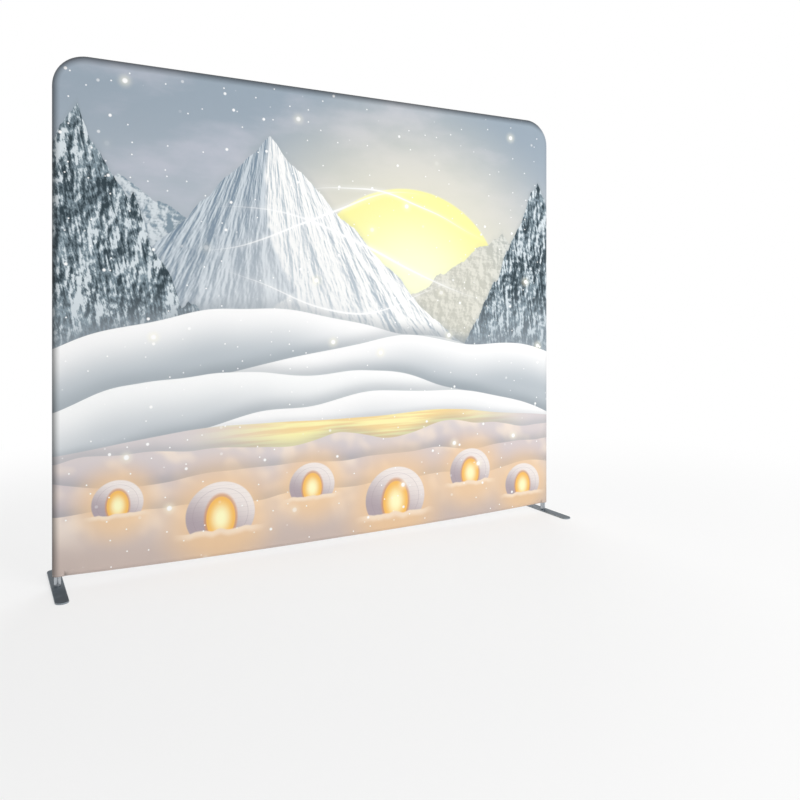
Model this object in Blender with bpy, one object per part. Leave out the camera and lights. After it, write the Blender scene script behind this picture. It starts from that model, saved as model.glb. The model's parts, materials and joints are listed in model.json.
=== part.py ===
"""Tension fabric backdrop: a knock-down frame of round aluminium tube on two flat steel feet, with a
printed pillowcase of stretch cloth pulled over it and zipped shut behind the bottom rail.
Metres, +Z up. X is the width, the print faces -Y, and the floor is Z = 0."""

import math

import bmesh
import bpy
from mathutils import Matrix, Vector

# Overall sizes
FRAME_WIDTH = 2.440
FRAME_HEIGHT = 2.130
CORNER_RADIUS = 0.130
RAIL_HEIGHT = 0.068

# Tubes
TUBE_OD = 0.038
TUBE_WALL = 0.0015
POLE_OD = 0.025
POLE_WALL = 0.0012
SWAGE_LENGTH = 0.060

# Straight legs of the corner pieces
ELBOW_LEG_DOWN = 0.060
ELBOW_LEG_SIDE = 0.040
TEE_LEG_UP = 0.100
TEE_LEG_SIDE = 0.096
TEE_LIP = 0.0015

# The bottom stub's mouth: how far from the upright's middle it starts, and its number of sides, which
# isn't the tubes' own, so that its corners miss theirs
STUB_START = 0.004
MOUTH_SIDES = 26

# Gaps between pieces that touch, and between pieces that turn or slide in each other
FIT_GAP = 0.0003
RUN_GAP = 0.0004

# Snap buttons and the bent springs under them
BUTTON_DIAMETER = 0.007
BUTTON_PROUD = 0.0025
BUTTON_DOME = 0.0015
BUTTON_INSET = 0.030
COLLAR_DIAMETER = 0.011
COLLAR_THICKNESS = 0.001
SPRING_WIDTH = 0.006
SPRING_THICKNESS = 0.0006
SPRING_LENGTH = 0.040
SPRING_LIP = 0.006
SPRING_FOLD = 0.004

# Saddles at the ends of the centre pole
SADDLE_DIAMETER = 0.030
SADDLE_BODY = 0.010
SADDLE_HUG = 0.006
SADDLE_PLUG = 0.030

# Feet
FOOT_LENGTH = 0.450
FOOT_WIDTH = 0.050
FOOT_THICKNESS = 0.006
FOOT_CHAMFER = 0.0008
POST_DIAMETER = 0.025
POST_WALL = 0.002
POST_LENGTH = 0.120
POST_PLUG = 0.014
BUSH_FLANGE = 0.002
BUSH_CAP = 0.003
BOLT_DIAMETER = 0.008
BOLT_LENGTH = 0.018
BOLT_HEAD_DIAMETER = 0.015
BOLT_HEAD_HEIGHT = 0.004
BOLT_RECESS = 0.0005

# Cloth case
CLOTH = 0.0008
TAB_LAP = 0.0005
SEAM_GAP = 0.0003
FLAP_CLEARANCE = 0.004
FLAP_DROP = 0.007
FLAP_SAG = 0.017
FLAP_SAG_POWER = 2.5

# Zip along the back of the case
ZIP_RISE = 0.045
ZIP_END_MARGIN = 0.030
CHAIN_WIDTH = 0.0054
CHAIN_THICKNESS = 0.0022
TAPE_WIDTH = 0.012
TAPE_THICKNESS = 0.0008
TAPE_TAIL = 0.010
STOP_LENGTH = 0.003
STOP_OVERHANG = 0.0012
SLIDER_LENGTH = 0.012
SLIDER_WALL = 0.0015
BAIL_WIDTH = 0.003
BAIL_LENGTH = 0.009
BAIL_THICKNESS = 0.0014
BAIL_OPENING = 0.0024
PULL_THICKNESS = 0.0012
PULL_SIDE_BAR = 0.0014
PULL_END_BAR = 0.0014
PULL_ROOM = 0.0030
PULL_LENGTH = 0.030

# One overrun for every cut
OVERRUN = 0.004

# Counts
TUBE_SIDES = 20
SMALL_SIDES = 12
DOME_STEPS = 3
BEND_STEPS = 8
ROLL_STEPS = 6
FLAP_STEPS = 12
FOOT_END_STEPS = 12
SHARP_ANGLE = math.radians(35)

# Derived places
TUBE_R = TUBE_OD / 2
POLE_R = POLE_OD / 2
UPRIGHT_X = FRAME_WIDTH / 2 - TUBE_R
TOP_Z = FRAME_HEIGHT - TUBE_R
BEND_R = CORNER_RADIUS - TUBE_R
ELBOW_SHOULDER_X = UPRIGHT_X - BEND_R - ELBOW_LEG_SIDE
ELBOW_SHOULDER_Z = TOP_Z - BEND_R - ELBOW_LEG_DOWN
TEE_SHOULDER_X = UPRIGHT_X - TEE_LEG_SIDE
TEE_SHOULDER_Z = RAIL_HEIGHT + TEE_LEG_UP
TEE_END_Z = RAIL_HEIGHT - TUBE_R - TEE_LIP
BUSH_BOTTOM_Z = TEE_END_Z - FIT_GAP - BUSH_FLANGE
UPRIGHT_JOINT_Z = (TEE_SHOULDER_Z + ELBOW_SHOULDER_Z) / 2
POLE_BOTTOM_Z = RAIL_HEIGHT + TUBE_R + SADDLE_BODY
POLE_TOP_Z = TOP_Z - TUBE_R - SADDLE_BODY
POLE_JOINT_Z = (POLE_BOTTOM_Z + POLE_TOP_Z) / 2
CASE_INNER_R = TUBE_R + FIT_GAP
CASE_OUTER_R = CASE_INNER_R + CLOTH
SEAM_Y = SEAM_GAP / 2
CASE_INNER_Y = SEAM_Y + CASE_INNER_R
CASE_OUTER_Y = SEAM_Y + CASE_OUTER_R
CASE_BOTTOM = BUSH_BOTTOM_Z - TAB_LAP
FLAP_HALF = UPRIGHT_X - TUBE_R - FLAP_CLEARANCE
ZIP_Z = RAIL_HEIGHT + ZIP_RISE
CHAIN_HALF = FLAP_HALF - ZIP_END_MARGIN
CHAIN_EDGE = CHAIN_WIDTH / 2
TAPE_START = CHAIN_EDGE + FIT_GAP
TAPE_Y = CASE_OUTER_Y + FIT_GAP
TAPE_TOP_Y = TAPE_Y + TAPE_THICKNESS
CHAIN_TOP_Y = TAPE_Y + CHAIN_THICKNESS
POST_BOTTOM_Z = FOOT_THICKNESS + FIT_GAP

LEFT, RIGHT = -1, 1
SIDE_NAMES = {LEFT: "left", RIGHT: "right"}
X_AXIS, Y_AXIS, Z_AXIS = Vector((1, 0, 0)), Vector((0, 1, 0)), Vector((0, 0, 1))
ORIGIN = Vector((0, 0, 0))


def finish(name, colour, roughness, metallic):
    """A Principled material of one piece's colour and sheen."""
    material = bpy.data.materials.new(name)
    material.use_nodes = True
    shader = material.node_tree.nodes["Principled BSDF"]
    shader.inputs["Base Color"].default_value = (*colour, 1)
    shader.inputs["Roughness"].default_value = roughness
    shader.inputs["Metallic"].default_value = metallic
    material.diffuse_color = (*colour, 1)
    return material


def add_object(name, bm, material):
    """A mesh object from a bmesh, with its faces pointing out and its round sides shaded smooth."""
    bmesh.ops.recalc_face_normals(bm, faces=bm.faces)
    mesh = bpy.data.meshes.new(name)
    bm.to_mesh(mesh)
    bm.free()
    mesh.shade_smooth()
    mesh.set_sharp_from_angle(angle=SHARP_ANGLE)
    if material:
        mesh.materials.append(material)
    obj = bpy.data.objects.new(name, mesh)
    bpy.context.scene.collection.objects.link(obj)
    return obj


def add_empty(name, place):
    empty = bpy.data.objects.new(name, None)
    empty.location = place
    bpy.context.scene.collection.objects.link(empty)
    return empty


def set_origin(obj, place, parent=None):
    """Moves the object's origin to a world point, and hangs it on the parent given."""
    obj.data.transform(Matrix.Translation(-place))
    obj.parent = parent
    obj.location = place - parent.location if parent else place


def combine(obj, tool, operation):
    """Joins the tool on, or cuts it out, and shades the edges that this makes like the others."""
    modifier = obj.modifiers.new(operation.lower(), "BOOLEAN")
    modifier.operation = operation
    modifier.solver = "EXACT"
    modifier.object = tool
    evaluated = obj.evaluated_get(bpy.context.evaluated_depsgraph_get())
    mesh = bpy.data.meshes.new_from_object(evaluated)
    obj.modifiers.clear()
    obj.data = mesh
    mesh.set_sharp_from_angle(angle=SHARP_ANGLE)


def join_on(obj, tool):
    combine(obj, tool, "UNION")
    bpy.data.objects.remove(tool)


def cut_out(tool, *pieces):
    for piece in pieces:
        combine(piece, tool, "DIFFERENCE")
    bpy.data.objects.remove(tool)


def ring(centre, tangent, radius, sides):
    """Points of a circle round a tangent. Its first point lies along Y, or along Z for a tangent along Y."""
    up = Z_AXIS if abs(tangent.dot(Y_AXIS)) > 0.5 else Y_AXIS
    across = up.cross(tangent).normalized()
    up = tangent.cross(across).normalized()
    angles = [2 * math.pi * k / sides for k in range(sides)]
    return [centre + radius * (up * math.cos(a) + across * math.sin(a)) for a in angles]


def skin(name, rings, material, hollow):
    """Joins rings of points in their order. A hollow piece joins its last ring to its first, and a
    solid one is capped at both ends."""
    bm = bmesh.new()
    loops = [[bm.verts.new(point) for point in points] for points in rings]
    sides = len(loops[0])
    joined = zip(loops, loops[1:] + loops[:1]) if hollow else zip(loops, loops[1:])
    for low, high in joined:
        for k in range(sides):
            after = (k + 1) % sides
            bm.faces.new((low[k], low[after], high[after], high[k]))
    if not hollow:
        bm.faces.new(loops[0])
        bm.faces.new(loops[-1])
    return add_object(name, bm, material)


def turned(name, start, direction, profile, material, sides=TUBE_SIDES, hollow=False):
    """A turned piece: profile is (distance along the axis, radius) pairs."""
    rings = [ring(start + direction * s, direction, r, sides) for s, r in profile]
    return skin(name, rings, material, hollow)


def extruded(name, outline, depth, material):
    """A flat outline pushed through a depth, half of it to each side."""
    bm = bmesh.new()
    face = bm.faces.new([bm.verts.new(point - depth / 2) for point in outline])
    pushed = bmesh.ops.extrude_face_region(bm, geom=[face])
    moved = [item for item in pushed["geom"] if isinstance(item, bmesh.types.BMVert)]
    bmesh.ops.translate(bm, verts=moved, vec=depth)
    return add_object(name, bm, material)


def block(name, low, high, material):
    """A plain box between two corners."""
    middle_y = (low.y + high.y) / 2
    corners = ((low.x, low.z), (high.x, low.z), (high.x, high.z), (low.x, high.z))
    outline = [Vector((x, middle_y, z)) for x, z in corners]
    return extruded(name, outline, Y_AXIS * (high.y - low.y), material)


def strip_outline(path, thickness):
    """The outline of a bent strip: its path, offset by half its thickness to each side."""
    sides = ([], [])
    for k, point in enumerate(path):
        before = path[max(k - 1, 0)]
        after = path[min(k + 1, len(path) - 1)]
        into = (point - before).normalized() if k else (after - point).normalized()
        onward = (after - point).normalized() if k < len(path) - 1 else into
        normals = [Vector((-way.y, way.x)) for way in (into, onward)]
        mitre = (normals[0] + normals[1]).normalized()
        reach = thickness / 2 / mitre.dot(normals[0])
        sides[0].append(point + mitre * reach)
        sides[1].append(point - mitre * reach)
    return sides[0] + sides[1][::-1]


# Frame tubes


def swaged_radii(outer, wall):
    """Outer and inner radius of a tube's reduced end, which slides into the same tube."""
    reduced = outer - wall - FIT_GAP
    return reduced, reduced - wall


def straight_tube(name, start, end, outer, wall, material, swaged):
    """A round tube between two points. A swaged one goes on past its end, reduced."""
    direction = (end - start).normalized()
    length = (end - start).length
    bore = outer - wall
    profile = [(FIT_GAP / 2, bore), (FIT_GAP / 2, outer)]
    if swaged:
        reduced, reduced_bore = swaged_radii(outer, wall)
        shoulder = length - FIT_GAP / 2
        tip = length + SWAGE_LENGTH
        profile += [(shoulder, outer), (shoulder, reduced), (tip, reduced), (tip, reduced_bore)]
        profile += [(shoulder - wall, reduced_bore), (shoulder - 2 * wall, bore)]
    else:
        profile += [(length - FIT_GAP / 2, outer), (length - FIT_GAP / 2, bore)]
    return turned(name, start, direction, profile, material, hollow=True)


def corner_bend(side):
    """Places round one top corner's centre line, from its upright to the top rail, each with the way
    out of the frame there."""
    centre = Vector((side * (UPRIGHT_X - BEND_R), 0, TOP_Z - BEND_R))
    places = []
    for k in range(BEND_STEPS + 1):
        angle = math.pi / 2 * k / BEND_STEPS
        outwards = X_AXIS * side * math.cos(angle) + Z_AXIS * math.sin(angle)
        places.append((centre + outwards * BEND_R, outwards))
    return places


def elbow(name, side, material):
    """A bent top corner, swaged at both ends."""
    reduced, reduced_bore = swaged_radii(TUBE_R, TUBE_WALL)
    bore = TUBE_R - TUBE_WALL
    inwards = X_AXIS * -side
    lower = Vector((side * UPRIGHT_X, 0, ELBOW_SHOULDER_Z + FIT_GAP / 2))
    upper = Vector((side * (ELBOW_SHOULDER_X + FIT_GAP / 2), 0, TOP_Z))
    bend = [(place, inwards * outwards.z + Z_AXIS * abs(outwards.x)) for place, outwards in corner_bend(side)]
    tip = SWAGE_LENGTH + FIT_GAP / 2
    outside_end = ((0, TUBE_R), (0, reduced), (tip, reduced))
    inside_end = ((tip, reduced_bore), (-TUBE_WALL, reduced_bore), (-2 * TUBE_WALL, bore))
    stations = [(lower - Z_AXIS * s, Z_AXIS, radius) for s, radius in reversed(outside_end)]
    stations += [(place, along, TUBE_R) for place, along in bend]
    stations += [(upper + inwards * s, inwards, radius) for s, radius in outside_end + inside_end]
    stations += [(place, along, bore) for place, along in reversed(bend)]
    stations += [(lower - Z_AXIS * s, Z_AXIS, radius) for s, radius in reversed(inside_end)]
    rings = [ring(place, along, radius, TUBE_SIDES) for place, along, radius in stations]
    return skin(name, rings, material, hollow=True)


def tee(name, side, material):
    """A bottom corner: a short upright tube with a stub welded on for the bottom rail, both swaged.
    The stub's mouth is cut to fit round the upright, whose wall stays whole behind it."""
    reduced, reduced_bore = swaged_radii(TUBE_R, TUBE_WALL)
    inwards = X_AXIS * -side
    axis = Vector((side * UPRIGHT_X, 0, 0))
    body = straight_tube(
        name,
        axis + Z_AXIS * (TEE_END_Z - FIT_GAP / 2),
        axis + Z_AXIS * TEE_SHOULDER_Z,
        TUBE_R,
        TUBE_WALL,
        material,
        True,
    )
    crossing = axis + Z_AXIS * RAIL_HEIGHT
    shoulder = TEE_LEG_SIDE - FIT_GAP / 2
    tip = TEE_LEG_SIDE + SWAGE_LENGTH
    profile = [(STUB_START, TUBE_R), (shoulder, TUBE_R), (shoulder, reduced), (tip, reduced)]
    profile += [(tip, reduced_bore), (shoulder - TUBE_WALL, reduced_bore)]
    profile += [(shoulder - 2 * TUBE_WALL, TUBE_R - TUBE_WALL), (STUB_START, TUBE_R - TUBE_WALL)]
    stub = turned("stub", crossing, inwards, profile, material, hollow=True)
    mouth = [(-TUBE_OD, TUBE_R - TUBE_WALL / 2), (TUBE_OD, TUBE_R - TUBE_WALL / 2)]
    cut_out(turned("mouth", crossing, Z_AXIS, mouth, None, sides=MOUTH_SIDES), stub)
    join_on(body, stub)
    return body


def tube_joints(tubes):
    """Every joint of two tubes: its name, the shoulder's place, the way the reduced end points, the way
    its button points, its tube's radius and wall, and the two tubes."""
    joints = []
    for side in (LEFT, RIGHT):
        word = SIDE_NAMES[side]
        x = side * UPRIGHT_X
        inwards = X_AXIS * -side
        corner, foot_tee = tubes[f"top_corner_{word}"], tubes[f"bottom_corner_{word}"]
        lower, upper = tubes[f"upright_lower_{word}"], tubes[f"upright_upper_{word}"]
        top_rail, bottom_rail = tubes[f"top_rail_{word}"], tubes[f"bottom_rail_{word}"]
        top_end = Vector((side * ELBOW_SHOULDER_X, 0, TOP_Z))
        bottom_end = Vector((side * TEE_SHOULDER_X, 0, RAIL_HEIGHT))
        joints += [
            (f"lower_{word}", Vector((x, 0, TEE_SHOULDER_Z)), Z_AXIS, inwards, foot_tee, lower),
            (f"middle_{word}", Vector((x, 0, UPRIGHT_JOINT_Z)), Z_AXIS, inwards, lower, upper),
            (f"upper_{word}", Vector((x, 0, ELBOW_SHOULDER_Z)), -Z_AXIS, inwards, corner, upper),
            (f"top_{word}", top_end, inwards, -Z_AXIS, corner, top_rail),
            (f"bottom_{word}", bottom_end, inwards, Z_AXIS, foot_tee, bottom_rail),
        ]
    top = (tubes["top_rail_left"], tubes["top_rail_right"])
    bottom = (tubes["bottom_rail_left"], tubes["bottom_rail_right"])
    joints.append(("top_middle", Vector((0, 0, TOP_Z)), X_AXIS, -Z_AXIS, *top))
    joints.append(("bottom_middle", Vector((0, 0, RAIL_HEIGHT)), X_AXIS, Z_AXIS, *bottom))
    joints = [(*joint, TUBE_R, TUBE_WALL) for joint in joints]
    pole = (tubes["centre_pole_lower"], tubes["centre_pole_upper"])
    joints.append(("pole", Vector((0, 0, POLE_JOINT_Z)), Z_AXIS, X_AXIS, *pole, POLE_R, POLE_WALL))
    return joints


def snap_button(name, middle, out, radius, wall, material):
    """A domed pin with a collar that stops it inside the reduced end."""
    bore = swaged_radii(radius, wall)[1] * math.cos(math.pi / TUBE_SIDES)
    collar_r = COLLAR_DIAMETER / 2
    collar_top = math.sqrt(bore**2 - collar_r**2) - FIT_GAP
    collar_bottom = collar_top - COLLAR_THICKNESS
    dome_bottom = radius + BUTTON_PROUD - BUTTON_DOME
    pin_r = BUTTON_DIAMETER / 2
    profile = [(collar_bottom, collar_r), (collar_top, collar_r), (collar_top, pin_r)]
    for k in range(DOME_STEPS):
        angle = math.pi / 2 * k / DOME_STEPS
        profile.append((dome_bottom + BUTTON_DOME * math.sin(angle), pin_r * math.cos(angle)))
    button = turned(name, middle, out, profile, material, sides=SMALL_SIDES)
    set_origin(button, middle + out * radius)
    return collar_bottom


def button_spring(name, middle, along, out, collar_bottom, radius, wall, material):
    """A strip of spring steel bent to a V: one arm under the button, the other on the far wall."""
    bore = swaged_radii(radius, wall)[1] * math.cos(math.pi / TUBE_SIDES)
    half = SPRING_THICKNESS / 2
    upper = collar_bottom - FIT_GAP - half
    lower = -(math.sqrt(bore**2 - (SPRING_WIDTH / 2) ** 2) - FIT_GAP - half)
    path = [
        Vector((SPRING_LIP, upper)),
        Vector((-SPRING_LIP, upper)),
        Vector((-SPRING_LENGTH, SPRING_FOLD / 2)),
        Vector((-SPRING_LENGTH, -SPRING_FOLD / 2)),
        Vector((-SPRING_LIP, lower)),
        Vector((SPRING_LIP, lower)),
    ]
    outline = [middle + along * point.x + out * point.y for point in strip_outline(path, SPRING_THICKNESS)]
    return extruded(name, outline, along.cross(out) * SPRING_WIDTH, material)


def add_snap_joint(joint, button_steel, spring_steel):
    """The button, its spring and its hole through both tubes."""
    name, shoulder, along, out, inner, outer, radius, wall = joint
    middle = shoulder + along * BUTTON_INSET
    collar_bottom = snap_button(f"snap_button_{name}", middle, out, radius, wall, button_steel)
    button_spring(f"button_spring_{name}", middle, along, out, collar_bottom, radius, wall, spring_steel)
    hole_r = BUTTON_DIAMETER / 2 + FIT_GAP
    reach = [(collar_bottom, hole_r), (radius + OVERRUN, hole_r)]
    cut_out(turned("hole", middle, out, reach, None, sides=SMALL_SIDES), inner, outer)


def pole_saddle(name, rail_z, upwards, material):
    """A plastic end of the centre pole: hollowed to sit on a rail, with a plug up the pole."""
    rail = Vector((0, 0, rail_z))
    start = TUBE_R - SADDLE_HUG
    seat = TUBE_R + SADDLE_BODY
    plug = POLE_R - POLE_WALL - FIT_GAP
    profile = [(start, SADDLE_DIAMETER / 2), (seat - FIT_GAP, SADDLE_DIAMETER / 2), (seat - FIT_GAP, plug)]
    profile += [(seat + SADDLE_PLUG, plug)]
    saddle = turned(name, rail, upwards, profile, material)
    reach = [(-SADDLE_DIAMETER, TUBE_R + FIT_GAP), (SADDLE_DIAMETER, TUBE_R + FIT_GAP)]
    cut_out(turned("hollow", rail, X_AXIS, reach, None), saddle)
    return saddle


# Feet


def foot_plate(name, axis, material):
    """A flat bar with round ends, countersunk from below for the bolt of its post."""
    radius = FOOT_WIDTH / 2
    straight = FOOT_LENGTH / 2 - radius
    outline = []
    for end in (-1, 1):
        for k in range(FOOT_END_STEPS + 1):
            angle = math.pi * k / FOOT_END_STEPS
            x = -end * radius * math.cos(angle)
            y = end * (straight + radius * math.sin(angle))
            outline.append(axis + Vector((x, y, FOOT_THICKNESS / 2)))
    plate = extruded(name, outline, Z_AXIS * FOOT_THICKNESS, material)
    bevel = plate.modifiers.new("chamfered edge", "BEVEL")
    bevel.width = FOOT_CHAMFER
    bevel.segments = 1
    bevel.limit_method = "ANGLE"
    bevel.angle_limit = math.radians(60)
    hole_r = BOLT_DIAMETER / 2 + FIT_GAP
    head_r = BOLT_HEAD_DIAMETER / 2 + FIT_GAP
    seat = BOLT_RECESS + FIT_GAP
    profile = [(-OVERRUN, head_r), (seat, head_r), (seat + BOLT_HEAD_HEIGHT, hole_r)]
    profile.append((FOOT_THICKNESS + OVERRUN, hole_r))
    cut_out(turned("bolt hole", axis, Z_AXIS, profile, None, sides=SMALL_SIDES), plate)
    return plate


def foot_post(name, axis, material):
    """A steel tube with a plugged, drilled foot, held on the plate by the bolt."""
    outer = POST_DIAMETER / 2
    bore = outer - POST_WALL
    hole = BOLT_DIAMETER / 2 + FIT_GAP
    profile = [(0, outer), (POST_LENGTH, outer), (POST_LENGTH, bore)]
    profile += [(POST_PLUG, bore), (POST_PLUG, hole), (0, hole)]
    return turned(name, axis + Z_AXIS * POST_BOTTOM_Z, Z_AXIS, profile, material, hollow=True)


def foot_bolt(name, axis, material):
    """A countersunk bolt, its head a little inside the plate's underside."""
    shank = BOLT_DIAMETER / 2
    head = BOLT_HEAD_DIAMETER / 2
    profile = [(BOLT_RECESS, head), (BOLT_RECESS + BOLT_HEAD_HEIGHT, shank), (BOLT_LENGTH, shank)]
    return turned(name, axis, Z_AXIS, profile, material, sides=SMALL_SIDES)


def foot_bush(name, axis, material):
    """A plastic sleeve that centres the thin post in the wide tube. Its closed top rests on the post,
    and the tube's end rests on its flange."""
    bore = POST_DIAMETER / 2 + RUN_GAP
    sleeve = TUBE_R - TUBE_WALL - FIT_GAP
    ceiling = POST_BOTTOM_Z + POST_LENGTH + FIT_GAP - BUSH_BOTTOM_Z
    profile = [(ceiling, bore), (0, bore), (0, TUBE_R), (BUSH_FLANGE, TUBE_R), (BUSH_FLANGE, sleeve)]
    profile.append((ceiling + BUSH_CAP, sleeve))
    return turned(name, axis + Z_AXIS * BUSH_BOTTOM_Z, Z_AXIS, profile, material)


# Cloth case


def case_outline():
    """Stations up one side of the frame, over the top and down the other: places on the tubes' centre
    line, each with the way out of the frame there."""
    left_end = (Vector((LEFT * UPRIGHT_X, 0, CASE_BOTTOM)), -X_AXIS)
    right_end = (Vector((RIGHT * UPRIGHT_X, 0, CASE_BOTTOM)), X_AXIS)
    return [left_end, *corner_bend(LEFT), *reversed(corner_bend(RIGHT)), right_end]


def case_half(name, facing, bottom_edge_z, material):
    """One cloth half of the case: a flat panel whose sides and top roll round the tubes to a seam at
    the outer edge. Its bottom edge is raised between the uprights, where the flap closes the case."""
    bm = bmesh.new()
    stations = case_outline()
    layers = []
    for radius in (CASE_OUTER_R, CASE_INNER_R):
        rolls = []
        for place, outwards in stations:
            roll = []
            for k in range(ROLL_STEPS + 1):
                angle = math.pi / 2 * k / ROLL_STEPS
                y = SEAM_Y + radius * math.sin(angle)
                roll.append(bm.verts.new(place + outwards * radius * math.cos(angle) + Y_AXIS * facing * y))
            rolls.append(roll)
        y = facing * (SEAM_Y + radius)
        notch = [Vector((x, y, z)) for x, z in notch_corners(bottom_edge_z)]
        layers.append((rolls, [bm.verts.new(corner) for corner in notch]))
    (outer, outer_notch), (inner, inner_notch) = layers
    for rolls in (outer, inner):
        for low, high in zip(rolls, rolls[1:]):
            for k in range(ROLL_STEPS):
                bm.faces.new((low[k], low[k + 1], high[k + 1], high[k]))
    for rolls, notch in layers:
        bm.faces.new([roll[-1] for roll in rolls] + notch)
    for low, high, low_in, high_in in zip(outer, outer[1:], inner, inner[1:]):
        bm.faces.new((low[0], high[0], high_in[0], low_in[0]))
    for end in (0, -1):
        for k in range(ROLL_STEPS):
            bm.faces.new((outer[end][k], outer[end][k + 1], inner[end][k + 1], inner[end][k]))
    outer_edge = [outer[-1][-1], *outer_notch, outer[0][-1]]
    inner_edge = [inner[-1][-1], *inner_notch, inner[0][-1]]
    for k in range(len(outer_edge) - 1):
        bm.faces.new((outer_edge[k], outer_edge[k + 1], inner_edge[k + 1], inner_edge[k]))
    return add_object(name, bm, material)


def notch_corners(bottom_edge_z):
    """Corners of the raised part of a half's bottom edge, from right to left."""
    edge = FLAP_HALF + FIT_GAP
    return ((edge, CASE_BOTTOM), (edge, bottom_edge_z), (-edge, bottom_edge_z), (-edge, CASE_BOTTOM))


def case_flap(name, material):
    """The strip that goes on from the front panel's bottom edge, under the rail and up to the zip. It
    hangs clear of the rail, and bellies down between its ends, where the cloth is slack."""
    rings = []
    for step in range(FLAP_STEPS + 1):
        share = 2 * step / FLAP_STEPS - 1
        x = FLAP_HALF * share
        turn_z = RAIL_HEIGHT - FIT_GAP - FLAP_DROP - FLAP_SAG * (1 - abs(share) ** FLAP_SAG_POWER)
        rims = []
        for reach in (CASE_OUTER_Y, CASE_INNER_Y):
            rim = [Vector((x, -reach, RAIL_HEIGHT - FIT_GAP))]
            for k in range(1, 2 * ROLL_STEPS):
                angle = math.pi * k / (2 * ROLL_STEPS)
                rim.append(Vector((x, -reach * math.cos(angle), turn_z - reach * math.sin(angle))))
            rim += [Vector((x, reach, RAIL_HEIGHT)), Vector((x, reach, ZIP_Z - TAPE_START))]
            rims.append(rim)
        rings.append(rims[0] + rims[1][::-1])
    return skin(name, rings, material, hollow=False)


def zip_slider(name, start_x, material):
    """A channel that rides over the teeth, with a bail on its back for the pull."""
    inner = CHAIN_EDGE + RUN_GAP
    outer = inner + SLIDER_WALL
    floor_y = TAPE_TOP_Y + RUN_GAP
    roof_y = CHAIN_TOP_Y + RUN_GAP
    top_y = roof_y + SLIDER_WALL
    corners = [(-outer, floor_y), (-outer, top_y), (outer, top_y), (outer, floor_y)]
    corners += [(inner, floor_y), (inner, roof_y), (-inner, roof_y), (-inner, floor_y)]
    middle = start_x + SLIDER_LENGTH / 2
    outline = [Vector((middle, y, ZIP_Z + z)) for z, y in corners]
    slider = extruded(name, outline, X_AXIS * SLIDER_LENGTH, material)
    half = BAIL_LENGTH / 2
    hole = half - BAIL_THICKNESS
    foot_y = top_y - SLIDER_WALL / 2
    arch_y = top_y + BAIL_OPENING
    crest_y = arch_y + BAIL_THICKNESS
    points = [(-half, foot_y), (-half, crest_y - BAIL_THICKNESS / 2), (-hole, crest_y), (hole, crest_y)]
    points += [(half, crest_y - BAIL_THICKNESS / 2), (half, foot_y), (hole, foot_y), (hole, arch_y)]
    points += [(-hole, arch_y), (-hole, foot_y)]
    arch = [Vector((middle + x, y, ZIP_Z)) for x, y in points]
    join_on(slider, extruded("bail", arch, Z_AXIS * BAIL_WIDTH, material))
    return slider, Vector((middle, top_y + BAIL_OPENING / 2, ZIP_Z))


def zip_pull(name, pivot, material):
    """A tab with a window round the bail. Its end bar passes under the bail and is the hinge."""
    half = BAIL_WIDTH / 2 + RUN_GAP + PULL_SIDE_BAR
    thick = Y_AXIS * PULL_THICKNESS / 2
    low = pivot - thick + Vector((-PULL_END_BAR / 2, 0, -half))
    high = pivot + thick + Vector((PULL_LENGTH, 0, half))
    pull = block(name, low, high, material)
    window_low = pivot + Vector((PULL_END_BAR / 2, -OVERRUN, PULL_SIDE_BAR - half))
    window_high = pivot + Vector((BAIL_LENGTH / 2 + PULL_ROOM, OVERRUN, half - PULL_SIDE_BAR))
    cut_out(block("window", window_low, window_high, None), pull)
    return pull


# Building the stand


def add_frame(aluminium, plastic, button_steel, spring_steel):
    """The bare tube frame with its snap joints and its centre pole."""
    tubes = {}

    def add_tube(name, start, end, radius=TUBE_R, wall=TUBE_WALL, swaged=False):
        tubes[name] = straight_tube(name, start, end, radius, wall, aluminium, swaged)

    for side in (LEFT, RIGHT):
        word = SIDE_NAMES[side]
        x = side * UPRIGHT_X
        tubes[f"bottom_corner_{word}"] = tee(f"bottom_corner_{word}", side, aluminium)
        tubes[f"top_corner_{word}"] = elbow(f"top_corner_{word}", side, aluminium)
        joint = Vector((x, 0, UPRIGHT_JOINT_Z))
        add_tube(f"upright_lower_{word}", Vector((x, 0, TEE_SHOULDER_Z)), joint, swaged=True)
        add_tube(f"upright_upper_{word}", joint, Vector((x, 0, ELBOW_SHOULDER_Z)))
        top_end, top_middle = Vector((side * ELBOW_SHOULDER_X, 0, TOP_Z)), Vector((0, 0, TOP_Z))
        bottom_end = Vector((side * TEE_SHOULDER_X, 0, RAIL_HEIGHT))
        bottom_middle = Vector((0, 0, RAIL_HEIGHT))
        add_tube(f"top_rail_{word}", top_end, top_middle, swaged=side == LEFT)
        add_tube(f"bottom_rail_{word}", bottom_end, bottom_middle, swaged=side == LEFT)
    pole_joint = Vector((0, 0, POLE_JOINT_Z))
    add_tube("centre_pole_lower", Vector((0, 0, POLE_BOTTOM_Z)), pole_joint, POLE_R, POLE_WALL, True)
    add_tube("centre_pole_upper", pole_joint, Vector((0, 0, POLE_TOP_Z)), POLE_R, POLE_WALL)
    pole_saddle("pole_saddle_bottom", RAIL_HEIGHT, Z_AXIS, plastic)
    pole_saddle("pole_saddle_top", TOP_Z, -Z_AXIS, plastic)
    for joint in tube_joints(tubes):
        add_snap_joint(joint, button_steel, spring_steel)


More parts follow.
